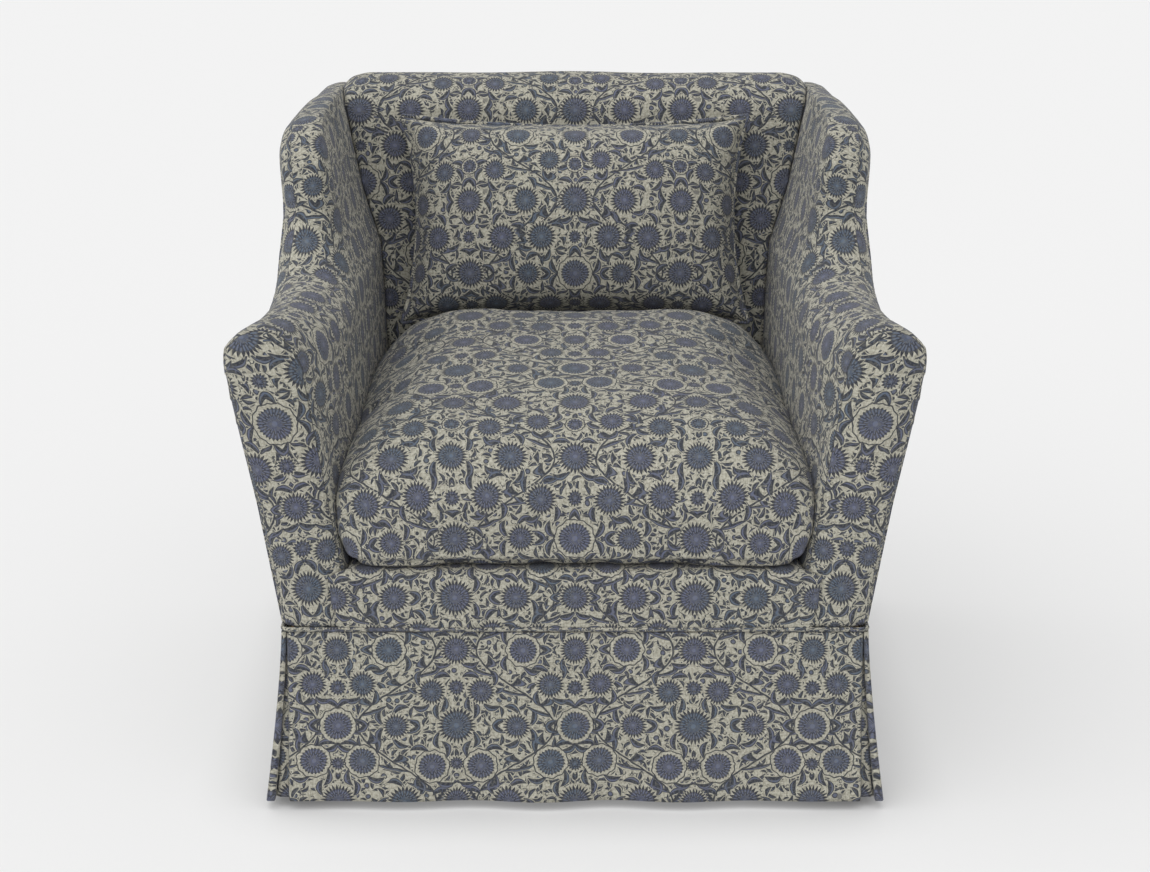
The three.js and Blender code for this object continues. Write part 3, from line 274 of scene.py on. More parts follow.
def noise_at(tree, vector, scale, detail=2.0, roughness=0.5, flat=False):
    node = tree.nodes.new("ShaderNodeTexNoise")
    node.noise_dimensions = "2D" if flat else "3D"
    tree.links.new(vector.socket, node.inputs["Vector"])
    node.inputs["Scale"].default_value = scale
    node.inputs["Detail"].default_value = detail
    node.inputs["Roughness"].default_value = roughness
    return Amount(tree, node.outputs["Fac"]), Amount(tree, node.outputs["Color"])


print("group helpers ready")

# %% [markdown]
# ## The print
# The cloth is a block print in slate and indigo on unbleached linen: round fringed flowers,
# leaves along winding stems and a scatter of small sprigs, mirrored left and right. The
# layout here is a plain one made up for this chair. Each motif is a node group that says how
# much ink lies at a point, how light that ink is, and which ground it keeps clear of the
# smaller motifs. All lengths in the print are in millimetres of cloth.

# %% A leaf shape
def leaf(along, aside, turn, length, width, bend=0.0):
    """Ink, half tone and kept ground of a pointed leaf whose middle is the origin."""
    turn = math.radians(turn)
    tip = along * math.cos(turn) + aside * math.sin(turn)
    edge = aside * math.cos(turn) - along * math.sin(turn)
    if bend:
        edge = edge + tip * tip * bend
    reach = 1 - (tip / length) * (tip / length)
    body = larger(size_of(edge) - reach * width, size_of(tip) - length)
    half_tone = inside(body + 1.3, 1.0) * inside(0.4 - edge, 0.6)
    return inside(body, 0.6), half_tone, inside(body - 1.1, 0.4)


print("leaf drawn")

# %% A flower with a fringed edge, a ring in its heart and a wreath of leaves
flower, given, leave = new_group(
    "flower",
    {
        "Across": ("number", 0.0),
        "Up": ("number", 0.0),
        "Radius": ("number", 20.0),
        "Petals": ("number", 24.0),
        "Ringed": ("number", 0.0),
        "Wreath": ("number", 1.0),
        "Phase": ("number", 0.0),
    },
    {"Disc": "number", "Light": "number", "Leaves": "number", "Leaves Light": "number",
     "Solid": "number", "Clear": "number"},
)
across, up, radius = given["Across"], given["Up"], given["Radius"]
ringed = given["Ringed"]
out = length_of(across, up)
turn = turn_of(across, up)
petal = size_of(share_of(turn * given["Petals"]) - 0.5) * 2
fringe = out - radius * (1 - ringed * 0.22) + petal * radius * (0.30 - ringed * 0.20)
scallop = size_of(share_of(turn * 11) - 0.5)
ring = inside(size_of(out - radius * (0.90 + 0.14 * scallop)) - 0.7, 0.6) * ringed
disc = inside(fringe, 0.7)
body = inside(out - radius * 0.68, 2.4)
streaks = inside(0.5 - petal, 0.4)
inner = size_of(share_of(turn * given["Petals"] * 0.5) - 0.5) * 2
inner_edge = inside(size_of(out - radius * (0.34 + 0.16 * inner)) - 0.9, 0.7)
eye = inside(out - radius * 0.12, 0.8)
light = body * (0.14 + 0.72 * streaks) * (1 - inner_edge * 0.9)
first_along = (share_of(turn * 5 + given["Phase"]) - 0.5) * (out * (2 * math.pi / 5))
first, first_light, first_clear = leaf(first_along, out - radius - 7.0, 40, 12.5, 3.7, 0.03)
second_along = (share_of(turn * 6 + given["Phase"] * 2) - 0.5) * (out * (2 * math.pi / 6))
second, second_light, second_clear = leaf(second_along, out - radius - 8.5, -55, 8.0, 2.4, -0.045)
second = second * (1 - first_clear)
wreath = given["Wreath"] * inside(out - radius - 15, 0.5)
hand_back(
    flower,
    leave,
    **{
        "Disc": larger(disc, ring),
        "Light": larger(light, eye * 0.9),
        "Leaves": larger(first, second) * wreath,
        "Leaves Light": larger(first_light, second_light) * wreath * 0.75,
        "Solid": larger(inside(fringe - 1.5, 0.5), inside(out - radius * 0.9, 0.5)),
        "Clear": larger(inside(out - radius - 1.0, 0.5), larger(first_clear, second_clear) * wreath),
    },
)
print("flower:", len(flower.nodes), "nodes")

# %% A winding stem with leaves on both sides
STEM_SWING, STEM_PERIOD, STEM_MIDDLE, LEAF_STEP = 46, 190, 70, 23.75
stem, given, leave = new_group(
    "stem",
    {"Across": ("number", 0.0), "Up": ("number", 0.0)},
    {"Ink": "number", "Light": "number", "Clear": "number"},
)
across, up = given["Across"], given["Up"]
phase = up * (2 * math.pi / STEM_PERIOD)
bend = worked(stem, "COSINE", phase) * STEM_SWING
slope = worked(stem, "SINE", phase) * (-STEM_SWING * 2 * math.pi / STEM_PERIOD)
lean = 1 / worked(stem, "SQRT", 1 + slope * slope)
off = (across - STEM_MIDDLE - bend) * lean
line = inside(size_of(off) - 1.1, 0.6)
side = worked(stem, "SIGN", off)
beat = (share_of(up / LEAF_STEP + side * 0.25) - 0.5) * LEAF_STEP / lean
leaves, leaves_light, leaves_clear = leaf(beat, size_of(off) - 8.0, 40, 12.5, 3.9, 0.03)
near = inside(size_of(off) - 18, 0.5)
hand_back(
    stem,
    leave,
    Ink=larger(line, leaves * near),
    Light=leaves_light * near * (1 - line) * 0.75,
    Clear=larger(inside(size_of(off) - 2.4, 0.5), leaves_clear * near),
)
print("stem:", len(stem.nodes), "nodes")

# %% [markdown]
# Between flowers and stems the ground is filled with sprigs. A Voronoi texture cuts the
# cloth into cells and says where each cell's middle is, so one leaf drawn round that
# middle, turned by the cell's own random colour, comes out as a scatter of leaves.

# %% Scattered sprigs
sprigs, given, leave = new_group(
    "sprigs",
    {
        "Across": ("number", 0.0),
        "Up": ("number", 0.0),
        "Spacing": ("number", 12.0),
        "Size": ("number", 1.0),
    },
    {"Ink": "number", "Light": "number", "Clear": "number"},
)
spot = vector_of(sprigs, given["Across"] / given["Spacing"], given["Up"] / given["Spacing"])
cells = sprigs.nodes.new("ShaderNodeTexVoronoi")
cells.voronoi_dimensions = "2D"
cells.inputs["Scale"].default_value = 1
cells.inputs["Randomness"].default_value = 0.7
sprigs.links.new(spot.socket, cells.inputs["Vector"])
spot_x, spot_y, _ = parts_of(sprigs, spot)
middle_x, middle_y, _ = parts_of(sprigs, Amount(sprigs, cells.outputs["Position"]))
chance, other_chance, _ = parts_of(sprigs, Amount(sprigs, cells.outputs["Color"]))
grown = given["Spacing"] / given["Size"]
x, y = (spot_x - middle_x) * grown, (spot_y - middle_y) * grown
angle = chance * (2 * math.pi)
cosine, sine = worked(sprigs, "COSINE", angle), worked(sprigs, "SINE", angle)
along, aside = x * cosine + y * sine, y * cosine - x * sine
blade, blade_light, blade_clear = leaf(along, aside, 0, 8.4, 2.5, 0.05)
curl = inside(size_of(length_of(along - 3.0, aside - 3.4) - 2.2) - 0.55, 0.6)
curl = curl * inside(along * -1 + 1.8, 0.8)
berry_edge = length_of(along, aside) - 2.6 - other_chance * 1.6
is_berry = inside(other_chance * -1 + 0.72, 0.02)
hand_back(
    sprigs,
    leave,
    Ink=larger(larger(blade, curl) * (1 - is_berry), inside(berry_edge, 0.6) * is_berry),
    Light=blade_light * (1 - is_berry) * 0.6 + inside(berry_edge + 1.6, 1.2) * is_berry * 0.7,
    Clear=larger(larger(blade_clear, curl) * (1 - is_berry), inside(berry_edge - 1.0, 0.5) * is_berry),
)
print("sprigs:", len(sprigs.nodes), "nodes")

# %% [markdown]
# One repeat holds a few flowers only. The drawing is folded along its middle line, so that
# left mirrors right, and each next row is the last one turned half round. A point of the
# cloth is folded back into this small field first, and then tested against seven flowers,
# one stem and two sizes of sprigs. Which flowers are ringed changes from row to row.

# %% The whole drawing
HALF_REPEAT, ROW = 140, 95
FLOWERS = [
    (0, 0, 21.5, 28, 0), (70, 0, 19.5, 24, 1), (140, 0, 20.5, 26, 2),
    (35, 46, 19.0, 24, 3), (105, 49, 19.0, 24, 3), (0, 47.5, 10.5, 14, 4), (140, 47.5, 10.5, 14, 4),
]
LABELS = ("Disc", "Light", "Leaves", "Leaves Light", "Solid", "Clear")

drawing, given, leave = new_group(
    "drawing",
    {"Cloth": ("vector", (0, 0, 0))},
    {"Ink": "number", "Light": "number", "Flower": "number"},
)
_, wobble = noise_at(drawing, given["Cloth"], 90, 1.0, flat=True)
wobble_x, wobble_y, _ = parts_of(drawing, wobble)
cloth_x, cloth_y, _ = parts_of(drawing, given["Cloth"])
cloth_x = cloth_x * 1000 + (wobble_x - 0.5) * 2.2
cloth_y = cloth_y * 1000 + (wobble_y - 0.5) * 2.2

across = worked(drawing, "PINGPONG", cloth_x, HALF_REPEAT)
row = whole_of(cloth_y / ROW)
up = cloth_y - row * ROW
odd = size_of(share_of(row / 2)) * 2
across = across + odd * (HALF_REPEAT - 2 * across)
turned = inside(ROW / 2 - up, 0.01)
across_turned = across + turned * (HALF_REPEAT - 2 * across)
up_turned = up + turned * (ROW - 2 * up)

line = row + turned
for number, (x, y, radius, petals, kind) in enumerate(FLOWERS):
    on_line = y == 0
    beat = worked(drawing, "SINE", (line if on_line else row) * 2.3 + kind * 2.6)
    other_beat = worked(drawing, "SINE", (line if on_line else row) * 1.7 + kind * 1.3)
    sign = -1 if x > 70 else 1
    x_here = other_beat * (9 * sign) + x if kind in (1, 3) else x
    y_here = beat * (5 * sign) + y if kind == 3 else y
    part = place_group(
        drawing, flower,
        Across=across_turned - x_here, Up=up_turned - y_here, Radius=beat * (radius * 0.15) + radius,
        Petals=float(petals), Ringed=inside(beat * -1 + 0.75, 0.01), Phase=other_beat,
        Wreath=1.0 if radius > 15 else 0.0,
    )
    part["Light"] = part["Light"] * part["Disc"]
    found = [part[label] for label in LABELS]
    all_found = found if number == 0 else [larger(before, new) for before, new in zip(all_found, found)]
discs, flower_light, leaves, leaves_light, solid, clear = all_found

winding = place_group(drawing, stem, Across=across, Up=up)
free_of_flowers = 1 - solid
leaves = larger(leaves, winding["Ink"]) * free_of_flowers
leaves_light = larger(leaves_light, winding["Light"]) * free_of_flowers
clear = larger(clear, winding["Clear"])
large = place_group(drawing, sprigs, Across=cloth_x, Up=cloth_y, Spacing=12.0, Size=0.85)
small = place_group(drawing, sprigs, Across=cloth_x + 37, Up=cloth_y + 11, Spacing=11.0, Size=0.55)
loose = large["Ink"] * (1 - clear)
fine = small["Ink"] * (1 - larger(clear, large["Clear"]))
ink = larger(larger(discs, leaves), larger(loose, fine))
light = larger(flower_light, larger(leaves_light, large["Light"] * loose)) * ink
hand_back(drawing, leave, Ink=ink, Light=light, Flower=discs)
print("drawing:", len(drawing.nodes), "nodes")

# %% [markdown]
# ## The linen
# Linen yarn is uneven: each thread is thick in one place and thin in the next, and a tone
# darker or lighter than its neighbour. Two sets of threads cross. At arm's length this
# reads as a fine fleck and a soft grain, which also shows in the ink.

# %% Linen threads
linen, given, leave = new_group(
    "linen",
    {"Cloth": ("vector", (0, 0, 0)), "Thread": ("number", 0.9)},
    {"Tone": "number", "Height": "number"},
)
x, y, _ = parts_of(linen, given["Cloth"])
x, y = x * 1000 / given["Thread"], y * 1000 / given["Thread"]
warp_tone, _ = noise_at(linen, vector_of(linen, x, y * 0.05), 0.9, 2.0, flat=True)
weft_tone, _ = noise_at(linen, vector_of(linen, x * 0.05, y), 0.9, 2.0, flat=True)
warp = worked(linen, "SINE", x * (2 * math.pi)) * worked(linen, "SIGN", worked(linen, "SINE", y * math.pi))
weft = worked(linen, "SINE", y * (2 * math.pi))
tone = (warp_tone + weft_tone) * 0.5
height = (warp + weft) * 0.25 + warp_tone * 0.6 + weft_tone * 0.6
hand_back(linen, leave, Tone=tone, Height=height)
print("linen:", len(linen.nodes), "nodes")

# %% [markdown]
# ## The printed cloth as a material
# Each cloth piece carries up to three flat maps of itself, one for each panel that it is
# sewn from, as point attributes in metres of cloth. A second attribute says how far a point
# is past a seam, so the material can swap from one panel to the next along a smooth line,
# finer than the mesh, and draw the seam there as a thin dark line of painted shade, with a
# slight crease in the relief.

# %% Mixing and panels
def mixed(tree, share, first, second):
    node = tree.nodes.new("ShaderNodeMix")
    node.data_type = "RGBA"
    node.clamp_factor = True
    feed(tree, share, node.inputs["Factor"])
    for value, slot in ((first, node.inputs["A"]), (second, node.inputs["B"])):
        sockets = [s for s in node.inputs if s.name == slot.name and s.type == "RGBA"]
        feed(tree, value, sockets[0])
    return Amount(tree, [s for s in node.outputs if s.type == "RGBA"][0])


def attribute(tree, name, kind="Vector"):
    node = tree.nodes.new("ShaderNodeAttribute")
    node.attribute_name = name
    return Amount(tree, node.outputs[kind])


def colour(red, green, blue):
    """An sRGB colour, 0 to 255, as the linear one that a node wants."""
    linear = [(c / 255 + 0.055) / 1.055 for c in (red, green, blue)]
    return tuple(((c * 1.055 - 0.055) / 12.92 if c * 1.055 - 0.055 <= 0.04045 else c ** 2.4) for c in linear) + (1,)


print("mixing ready")

def raised(tree, height, strength, distance):
    """Raises the surface by a height in the shader only; distance is in metres."""
    bump = tree.nodes.new("ShaderNodeBump")
    bump.inputs["Strength"].default_value = strength
    bump.inputs["Distance"].default_value = distance
    feed(tree, height, bump.inputs["Height"])
    tree.links.new(bump.outputs[0], tree.nodes["Principled BSDF"].inputs["Normal"])


print("mixing and relief ready")

# %% Print cloth
GROUND, GROUND_DARK = colour(190, 187, 173), colour(142, 140, 127)
INK, INK_GREEN = colour(52, 54, 62), colour(54, 57, 65)
BLUE, TEAL, VIOLET = colour(103, 108, 131), colour(94, 107, 124), colour(106, 103, 125)
# The near-black for the seams is painted shade, standing in for the crease of each seam.
SEAM_PAINTED_SHADE = colour(58, 58, 56)

print_cloth = bpy.data.materials.new("print_cloth")
print_cloth.use_nodes = True
tree = print_cloth.node_tree
cloth = attribute(tree, "cloth")
seam = None
for number in (2, 3):
    past = (attribute(tree, f"seam_{number}", "Fac") - 1) * 1000
    cloth = mixed(tree, inside(past * -1 + 0.05, 0.02), cloth, attribute(tree, f"cloth_{number}"))
    # A thin line along each seam: painted shade in its crease, and a crease in the relief below.
    seam_shade_line = inside(size_of(past) - 0.7, 1.0)
    seam = seam_shade_line if seam is None else larger(seam, seam_shade_line)
drawn = place_group(tree, drawing, Cloth=cloth)
threads = place_group(tree, linen, Cloth=cloth)
drift, drift_colour = noise_at(tree, cloth, 7, 2.0, flat=True)
wear, _ = noise_at(tree, cloth, 330, 3.0, 0.65, flat=True)
drift_2 = parts_of(tree, drift_colour)[0]

ground = mixed(tree, (threads["Tone"] - 0.36) * 2.0 + (wear - 0.42) * 2.4, GROUND_DARK, GROUND)
dark = mixed(tree, drawn["Flower"], INK_GREEN, INK)
pale = mixed(tree, (drift_2 - 0.42) * 5, mixed(tree, (drift - 0.42) * 5, BLUE, VIOLET), TEAL)
ink_tone = mixed(tree, drawn["Light"] * (0.45 + 1.1 * wear), dark, pale)
cover = drawn["Ink"] * (0.27 + 0.45 * threads["Tone"] + 0.90 * wear)
look = mixed(tree, cover, ground, ink_tone)
# Painted shade: each seam line is darkened towards the near-black.
look = mixed(tree, seam * 0.7, look, SEAM_PAINTED_SHADE)

shader = tree.nodes["Principled BSDF"]
feed(tree, look, shader.inputs["Base Color"])
shader.inputs["Roughness"].default_value = 0.9
shader.inputs["Specular IOR Level"].default_value = 0.2
shader.inputs["Sheen Weight"].default_value = 0.12
shader.inputs["Sheen Roughness"].default_value = 0.5
raised(tree, threads["Height"] - seam * 3.0, 0.4, 0.0004)
print("print cloth:", len(tree.nodes), "nodes")

# %% [markdown]
# ## Making a soft copy of a solid
# A padded arm could be modelled again from a cube, but its solid already has the right
# lines. So a copy of the solid is remeshed into small even squares, like clay, and smoothed
# until the facets are gone. Plain smoothing shrinks a form, so each pass here also steps a
# little back, and shallow dents are pressed in, because hand-laid wadding is never flat.

# %% Selecting, finishing, reading and writing points
def only(piece):
    bpy.ops.object.select_all(action="DESELECT")
    piece.select_set(True)
    bpy.context.view_layer.objects.active = piece


def finish_with(piece, kind, **settings):
    only(piece)
    modifier = piece.modifiers.new(kind.lower(), kind)
    for setting, value in settings.items():
        setattr(modifier, setting, value)
    bpy.ops.object.modifier_apply(modifier=modifier.name)


def points_of(piece):
    places = np.empty(len(piece.data.vertices) * 3)
    piece.data.vertices.foreach_get("co", places)
    return places.reshape(-1, 3)


def normals_of(piece):
    normals = np.empty(len(piece.data.vertices) * 3, dtype=np.float32)
    piece.data.vertex_normals.foreach_get("vector", normals)
    return normals.reshape(-1, 3).astype(float)


def put_points(piece, places):
    piece.data.vertices.foreach_set("co", places.ravel())
    piece.data.update()


print("helpers ready")

# %% Copying and smoothing
def merged_copy(name, *solids):
    bpy.ops.object.select_all(action="DESELECT")
    for solid in solids:
        copy = bpy.data.objects.new(name, nodes[solid].data.copy())
        bpy.context.scene.collection.objects.link(copy)
        copy.select_set(True)
        bpy.context.view_layer.objects.active = copy
    if len(solids) > 1:
        bpy.ops.object.join()
    piece = bpy.context.active_object
    piece.data.materials.clear()
    bpy.ops.object.mode_set(mode="EDIT")
    bpy.ops.mesh.select_all(action="SELECT")
    bpy.ops.mesh.remove_doubles(threshold=0.00002)
    bpy.ops.object.mode_set(mode="OBJECT")
    return piece


def smoothed(piece, passes):
    places, count = points_of(piece), len(piece.data.vertices)
    edges = np.empty(len(piece.data.edges) * 2, dtype=np.int32)
    piece.data.edges.foreach_get("vertices", edges)
    first, second = edges.reshape(-1, 2).T
    near = np.bincount(first, minlength=count) + np.bincount(second, minlength=count)
    for step in range(passes * 2):
        total = np.stack([
            np.bincount(first, places[second, axis], count) + np.bincount(second, places[first, axis], count)
            for axis in range(3)
        ], axis=1)
        share = 0.5 if step % 2 == 0 else -0.51
        places += share * (total / np.maximum(near, 1)[:, None] - places)
    put_points(piece, places)


def ripples(places, size, seed):
    """Soft random swells between about -1 and 1, each as wide as size."""
    random = np.random.default_rng(seed)
    swell = np.zeros(len(places))
    for _ in range(7):
        direction = random.normal(size=3)
        direction /= np.linalg.norm(direction)
        pace = 2 * math.pi / size * random.uniform(0.5, 1.2)
        swell += np.sin(places @ direction * pace + random.uniform(0, 6.28))
    return swell / 3.5


FOOT_DROP = 0.0035


def soft_copy(name, *solids, voxel=0.005, passes=12, dent=0.0008, seed=1, foot=0.0):
    """Near its foot a piece keeps the edges of its solid and reaches down into the welt."""
    piece = merged_copy(name, *solids)
    finish_with(piece, "REMESH", mode="VOXEL", voxel_size=voxel, use_smooth_shade=True)
    start = points_of(piece)
    smoothed(piece, passes)
    places = points_of(piece)
    places += normals_of(piece) * ripples(places, 0.16, seed)[:, None] * dent
    if foot:
        free = np.clip((start[:, 2] - start[:, 2].min()) / foot, 0, 1)[:, None]
        places = start + (places - start) * free
        places[:, 2] -= FOOT_DROP * (1 - free[:, 0])
    put_points(piece, places)
    return piece


print("soft copies ready")

# %% [markdown]
# ## Laying the cloth on a piece
# A cover is sewn from flat panels, so the print must run over an edge without stretching.
# At each point of the piece the two directions of the weave are known: those of the flat
# panel, tilted with the surface. What is wanted is a place on the flat cloth for every
# point, so that each step along the surface is as long and points the same way there. No
# such map is exact on a rounded form, so the best one is found by least squares: a large set
# of equations, one for each mesh edge, solved by conjugate gradients.

# %% Keeping maps on a mesh
def keep_vectors(piece, name, vectors):
    attribute = piece.data.attributes.new(name, "FLOAT_VECTOR", "POINT")
    attribute.data.foreach_set("vector", np.ascontiguousarray(vectors, dtype=np.float32).ravel())


def keep_values(piece, name, values):
    attribute = piece.data.attributes.new(name, "FLOAT", "POINT")
    attribute.data.foreach_set("value", np.ascontiguousarray(values, dtype=np.float32))


def turn_from(piece, facing):
    """The angle at each point between the surface and the way that a panel faces."""
    return np.arccos(np.clip(normals_of(piece) @ np.array(Vector(facing).normalized()), -1, 1))


print("maps ready")

# %% Laying a panel out flat
SOLVER_STEPS = 500


def laid_flat(piece, facing, right, up, offset=(0, 0)):
    """Place of each point on a flat cloth, in metres, for a panel that faces one way."""
    places, normals, count = points_of(piece), normals_of(piece), len(piece.data.vertices)
    facing, right, up = (np.array(Vector(way).normalized()) for way in (facing, right, up))
    edges = np.empty(len(piece.data.edges) * 2, dtype=np.int32)
    piece.data.edges.foreach_get("vertices", edges)
    first, second = edges.reshape(-1, 2).T
    steps = places[second] - places[first]
    level = 1 + normals @ facing
    trust = np.maximum((level[first] + level[second]) / 4, 0.03) ** 2

    def spread(values):
        flow = trust * (values[second] - values[first])
        return np.bincount(first, flow, count) - np.bincount(second, flow, count)

    flat = [places @ right, places @ up]
    for number, way in enumerate((right, up)):
        tilted = way - ((normals @ way) / np.maximum(level, 0.05))[:, None] * (facing + normals)
        wanted = trust * np.einsum("ij,ij->i", (tilted[first] + tilted[second]) / 2, steps)
        target = np.bincount(first, wanted, count) - np.bincount(second, wanted, count)
        values = flat[number].copy()
        left = target - spread(values)
        search, size = left.copy(), left @ left
        for _ in range(SOLVER_STEPS):
            change = spread(search)
            share = size / (search @ change)
            values += share * search
            left -= share * change
            size, size_before = left @ left, size
            search = left + search * (size / size_before)
            if size < 1e-13:
                break
        front = np.maximum(level - 1.9, 0) + 1e-9
        values += np.average(flat[number] - values, weights=front) + offset[number]
        flat[number] = values
    return np.stack([*flat, np.zeros(count)], axis=1)


def wears(piece, material, body, *replaced, slot="print_fabric"):
    piece.data.materials.clear()
    piece.data.materials.append(material)
    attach(piece, body)
    if replaced:
        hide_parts(*replaced)
    print(piece.name, len(piece.data.polygons), "faces")


print("panels ready")

# %% [markdown]
# ## Arms and wings
# On the real chair one piece of cloth covers the inside of the arm and wing and rolls over
# the top. A second, flat panel faces the front of the arm, and a third closes the outside.
# The seams lie where the roll turns away, so each seam is placed by the angle of the
# surface: 52 degrees from the front for the facing, and under the roll for the outside.

# %% Right arm and wing, then the left one as its mirror
ARM_ROLL, FRONT_ROLL, FACING_DEPTH = 0.040, 0.017, 0.05
FACING_SEAM, OUTSIDE_SEAM = math.radians(52), math.radians(128)
FRONT = (0, -1, 0)


def mirrored_piece(piece, name):
    twin = bpy.data.objects.new(name, piece.data.copy())
    bpy.context.scene.collection.objects.link(twin)
    places = points_of(twin)
    places[:, 0] *= -1
    twin.data.vertices.foreach_set("co", places.ravel())
    twin.data.flip_normals()
    return twin


def let_out(piece):
    """Lets the top of the arm and of the wing out a little; the outer side moves the most."""
    places = points_of(piece)
    outer = 0.5 + 0.5 * np.tanh(normals_of(piece)[:, 0] * 2.5)
    front = np.clip((0.30 - places[:, 1]) / 0.20, 0.3, 1)
    arm = 0.0045 * np.clip((places[:, 2] - 0.38) / 0.12, 0, 1) * np.clip((0.66 - places[:, 2]) / 0.06, 0, 1)
    wing = 0.010 * np.clip((places[:, 2] - 0.64) / 0.09, 0, 1)
    places[:, 0] += (arm + wing) * outer * front
    put_points(piece, places)


def dress_arm(piece):
    places = points_of(piece)
    keep_vectors(piece, "cloth", laid_flat(piece, (-1, 0, 0), (0, 1, 0), (0, 0, 1), (0.012, 0.02)))
    keep_vectors(piece, "cloth_2", laid_flat(piece, FRONT, (1, 0, -0.16), (0.16, 0, 1), (-0.27, 0.05)))
    keep_vectors(piece, "cloth_3", laid_flat(piece, (1, 0, 0), (0, 1, 0), (0, 0, 1), (0.07, 0.11)))
    near_front = FACING_DEPTH - (places[:, 1] - front_plane)
    past_facing = np.minimum((FACING_SEAM - turn_from(piece, FRONT)) * FRONT_ROLL, near_front)
    keep_values(piece, "seam_2", 1 + past_facing)
    keep_values(piece, "seam_3", 1 + (turn_from(piece, (-1, 0, 0)) - OUTSIDE_SEAM) * ARM_ROLL)


right_arm = soft_copy("right_arm_cover", "right_arm_and_wing_pad", seed=3, foot=0.02)
let_out(right_arm)
dress_arm(right_arm)
left_arm = mirrored_piece(right_arm, "left_arm_cover")
wears(right_arm, print_cloth, "chair", "right_arm_and_wing_pad")
wears(left_arm, print_cloth, "chair", "left_arm_and_wing_pad")

# %% [markdown]
# The outside of the arm and the outside back are flat panels, pulled tight over the frame
# and blind-stitched at their edges. A remesh would lose something this thin, so the copy is
# cut into a grid instead and its edges are rounded. The edge that meets the roll reaches a
# little way in under it, so that the seam is a closed line and no gap.

# %% Outside panels
SEAM_REACH = 0.0035


def reach_under(piece, facing):
    """Moves the top and front edge of a thin upright panel outwards in its own plane."""
    shape = bmesh.new()
    shape.from_mesh(piece.data)
    shape.normal_update()
    moves = {}
    for point in shape.verts:
        edges = [f.normal for f in point.link_faces if abs(f.normal.dot(facing)) < 0.5]
        way = sum((n for n in edges if n.y < 0.1 and (n.z > 0.15 or n.y < -0.3)), Vector())
        if way.length > 0:
            moves[point] = way.normalized() * SEAM_REACH
    for point, move in moves.items():
        point.co += move
    shape.to_mesh(piece.data)
    shape.free()
    print(piece.name, len(moves), "edge points reach under the roll")


def flat_panel(name, solid, facing, steps, edge=0.0018, meets_roll=True):
    piece = merged_copy(name, solid)
    lo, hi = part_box(solid)
    bpy.ops.object.mode_set(mode="EDIT")
    bpy.ops.mesh.select_all(action="SELECT")
    bpy.ops.mesh.dissolve_limited(angle_limit=math.radians(0.5))
    bpy.ops.object.mode_set(mode="OBJECT")
    if meets_roll:
        reach_under(piece, Vector(facing))
    finish_with(piece, "BEVEL", width=edge, segments=3, limit_method="ANGLE", angle_limit=math.radians(50))
    bpy.ops.object.mode_set(mode="EDIT")
    for axis in (0, 1, 2):
        if hi[axis] - lo[axis] < 0.08 or abs(facing[axis]) > 0.9:
            continue
        for step in range(1, steps):
            level = lo[axis] + (hi[axis] - lo[axis]) * step / steps
            way, place = [0, 0, 0], [0, 0, 0]
            way[axis], place[axis] = 1, level
            bpy.ops.mesh.select_all(action="SELECT")
            bpy.ops.mesh.bisect(plane_co=place, plane_no=way)
    bpy.ops.object.mode_set(mode="OBJECT")
    only(piece)
    bpy.ops.object.shade_smooth_by_angle(angle=math.radians(40))
    return piece


right_outside = flat_panel("right_outside_arm", "right_outside_arm_panel", (1, 0, 0), 24)
let_out(right_outside)
keep_vectors(right_outside, "cloth", laid_flat(right_outside, (1, 0, 0), (0, 1, 0), (0, 0, 1), (0.07, 0.11)))
left_outside = mirrored_piece(right_outside, "left_outside_arm")
wears(right_outside, print_cloth, "chair", "right_outside_arm_panel")
wears(left_outside, print_cloth, "chair", "left_outside_arm_panel")

outside_back = flat_panel("outside_back_cover", "outside_back", (0, 1, 0), 28)
keep_vectors(outside_back, "cloth", laid_flat(outside_back, (0, 1, 0), (-1, 0, 0), (0, 0, 1), (0, 0.04)))
wears(outside_back, print_cloth, "chair", "outside_back")

# %% [markdown]
# ## Inside back and front border
# The inside back rolls over the top rail to the back. The border below the cushion is a
# tightly covered strip. Both are centred, so the print's mirror line runs down the middle.

# %% Inside back and border
inside_back = soft_copy("inside_back_cover", "inside_back", voxel=0.0055, seed=5, dent=0.0012)
keep_vectors(inside_back, "cloth", laid_flat(inside_back, (0, -0.6, 0.8), (1, 0, 0), (0, 0.8, 0.6), (0, 0.02)))
wears(inside_back, print_cloth, "chair", "inside_back")

border = soft_copy("front_border_cover", "front_border", voxel=0.004, passes=6, seed=6, dent=0.0004, foot=0.02)
keep_vectors(border, "cloth", laid_flat(border, FRONT, (1, 0, 0), (0, 0, 1), (0, 0.018)))
wears(border, print_cloth, "chair", "front_border")

# %% [markdown]
# ## The skirt
# The skirt is four flat lengths of cloth, hung from the welt with a kick pleat at each
# corner: both ends turn back behind the panel, and an underlay fills the gap. Each length
# starts as a grid lying flat, so its own flat place is the place of the print, and is then
# bent to the plan of the hem, hung a little outwards, and given the cloth's thickness.

# %% A sheet that starts flat
SHEET_CLOTH = 0.0024


def flat_grid(name, columns, rows):
    """A grid with its shares, 0 to 1, of the way across and up."""
    bpy.ops.object.select_all(action="DESELECT")
    bpy.ops.mesh.primitive_grid_add(x_subdivisions=columns, y_subdivisions=rows, size=2)
    piece = bpy.context.active_object
    piece.name = name
    shares = (points_of(piece)[:, :2] + 1) / 2
    return piece, shares[:, 0], shares[:, 1]


def along_path(path, share):
    """Points at shares of a path's length, and that length."""
    steps = np.linalg.norm(np.diff(path, axis=0), axis=1)
    gone = np.concatenate([[0], np.cumsum(steps)])
    spots = np.stack([np.interp(share * gone[-1], gone, path[:, axis]) for axis in range(path.shape[1])], axis=1)
    return spots, gone[-1]


def arc_points(centre_x, centre_y, radius, start, end, steps=8):
    angles = np.radians(np.linspace(start, end, steps))
    return np.stack([centre_x + radius * np.cos(angles), centre_y + radius * np.sin(angles)], axis=1)


print("sheets ready")

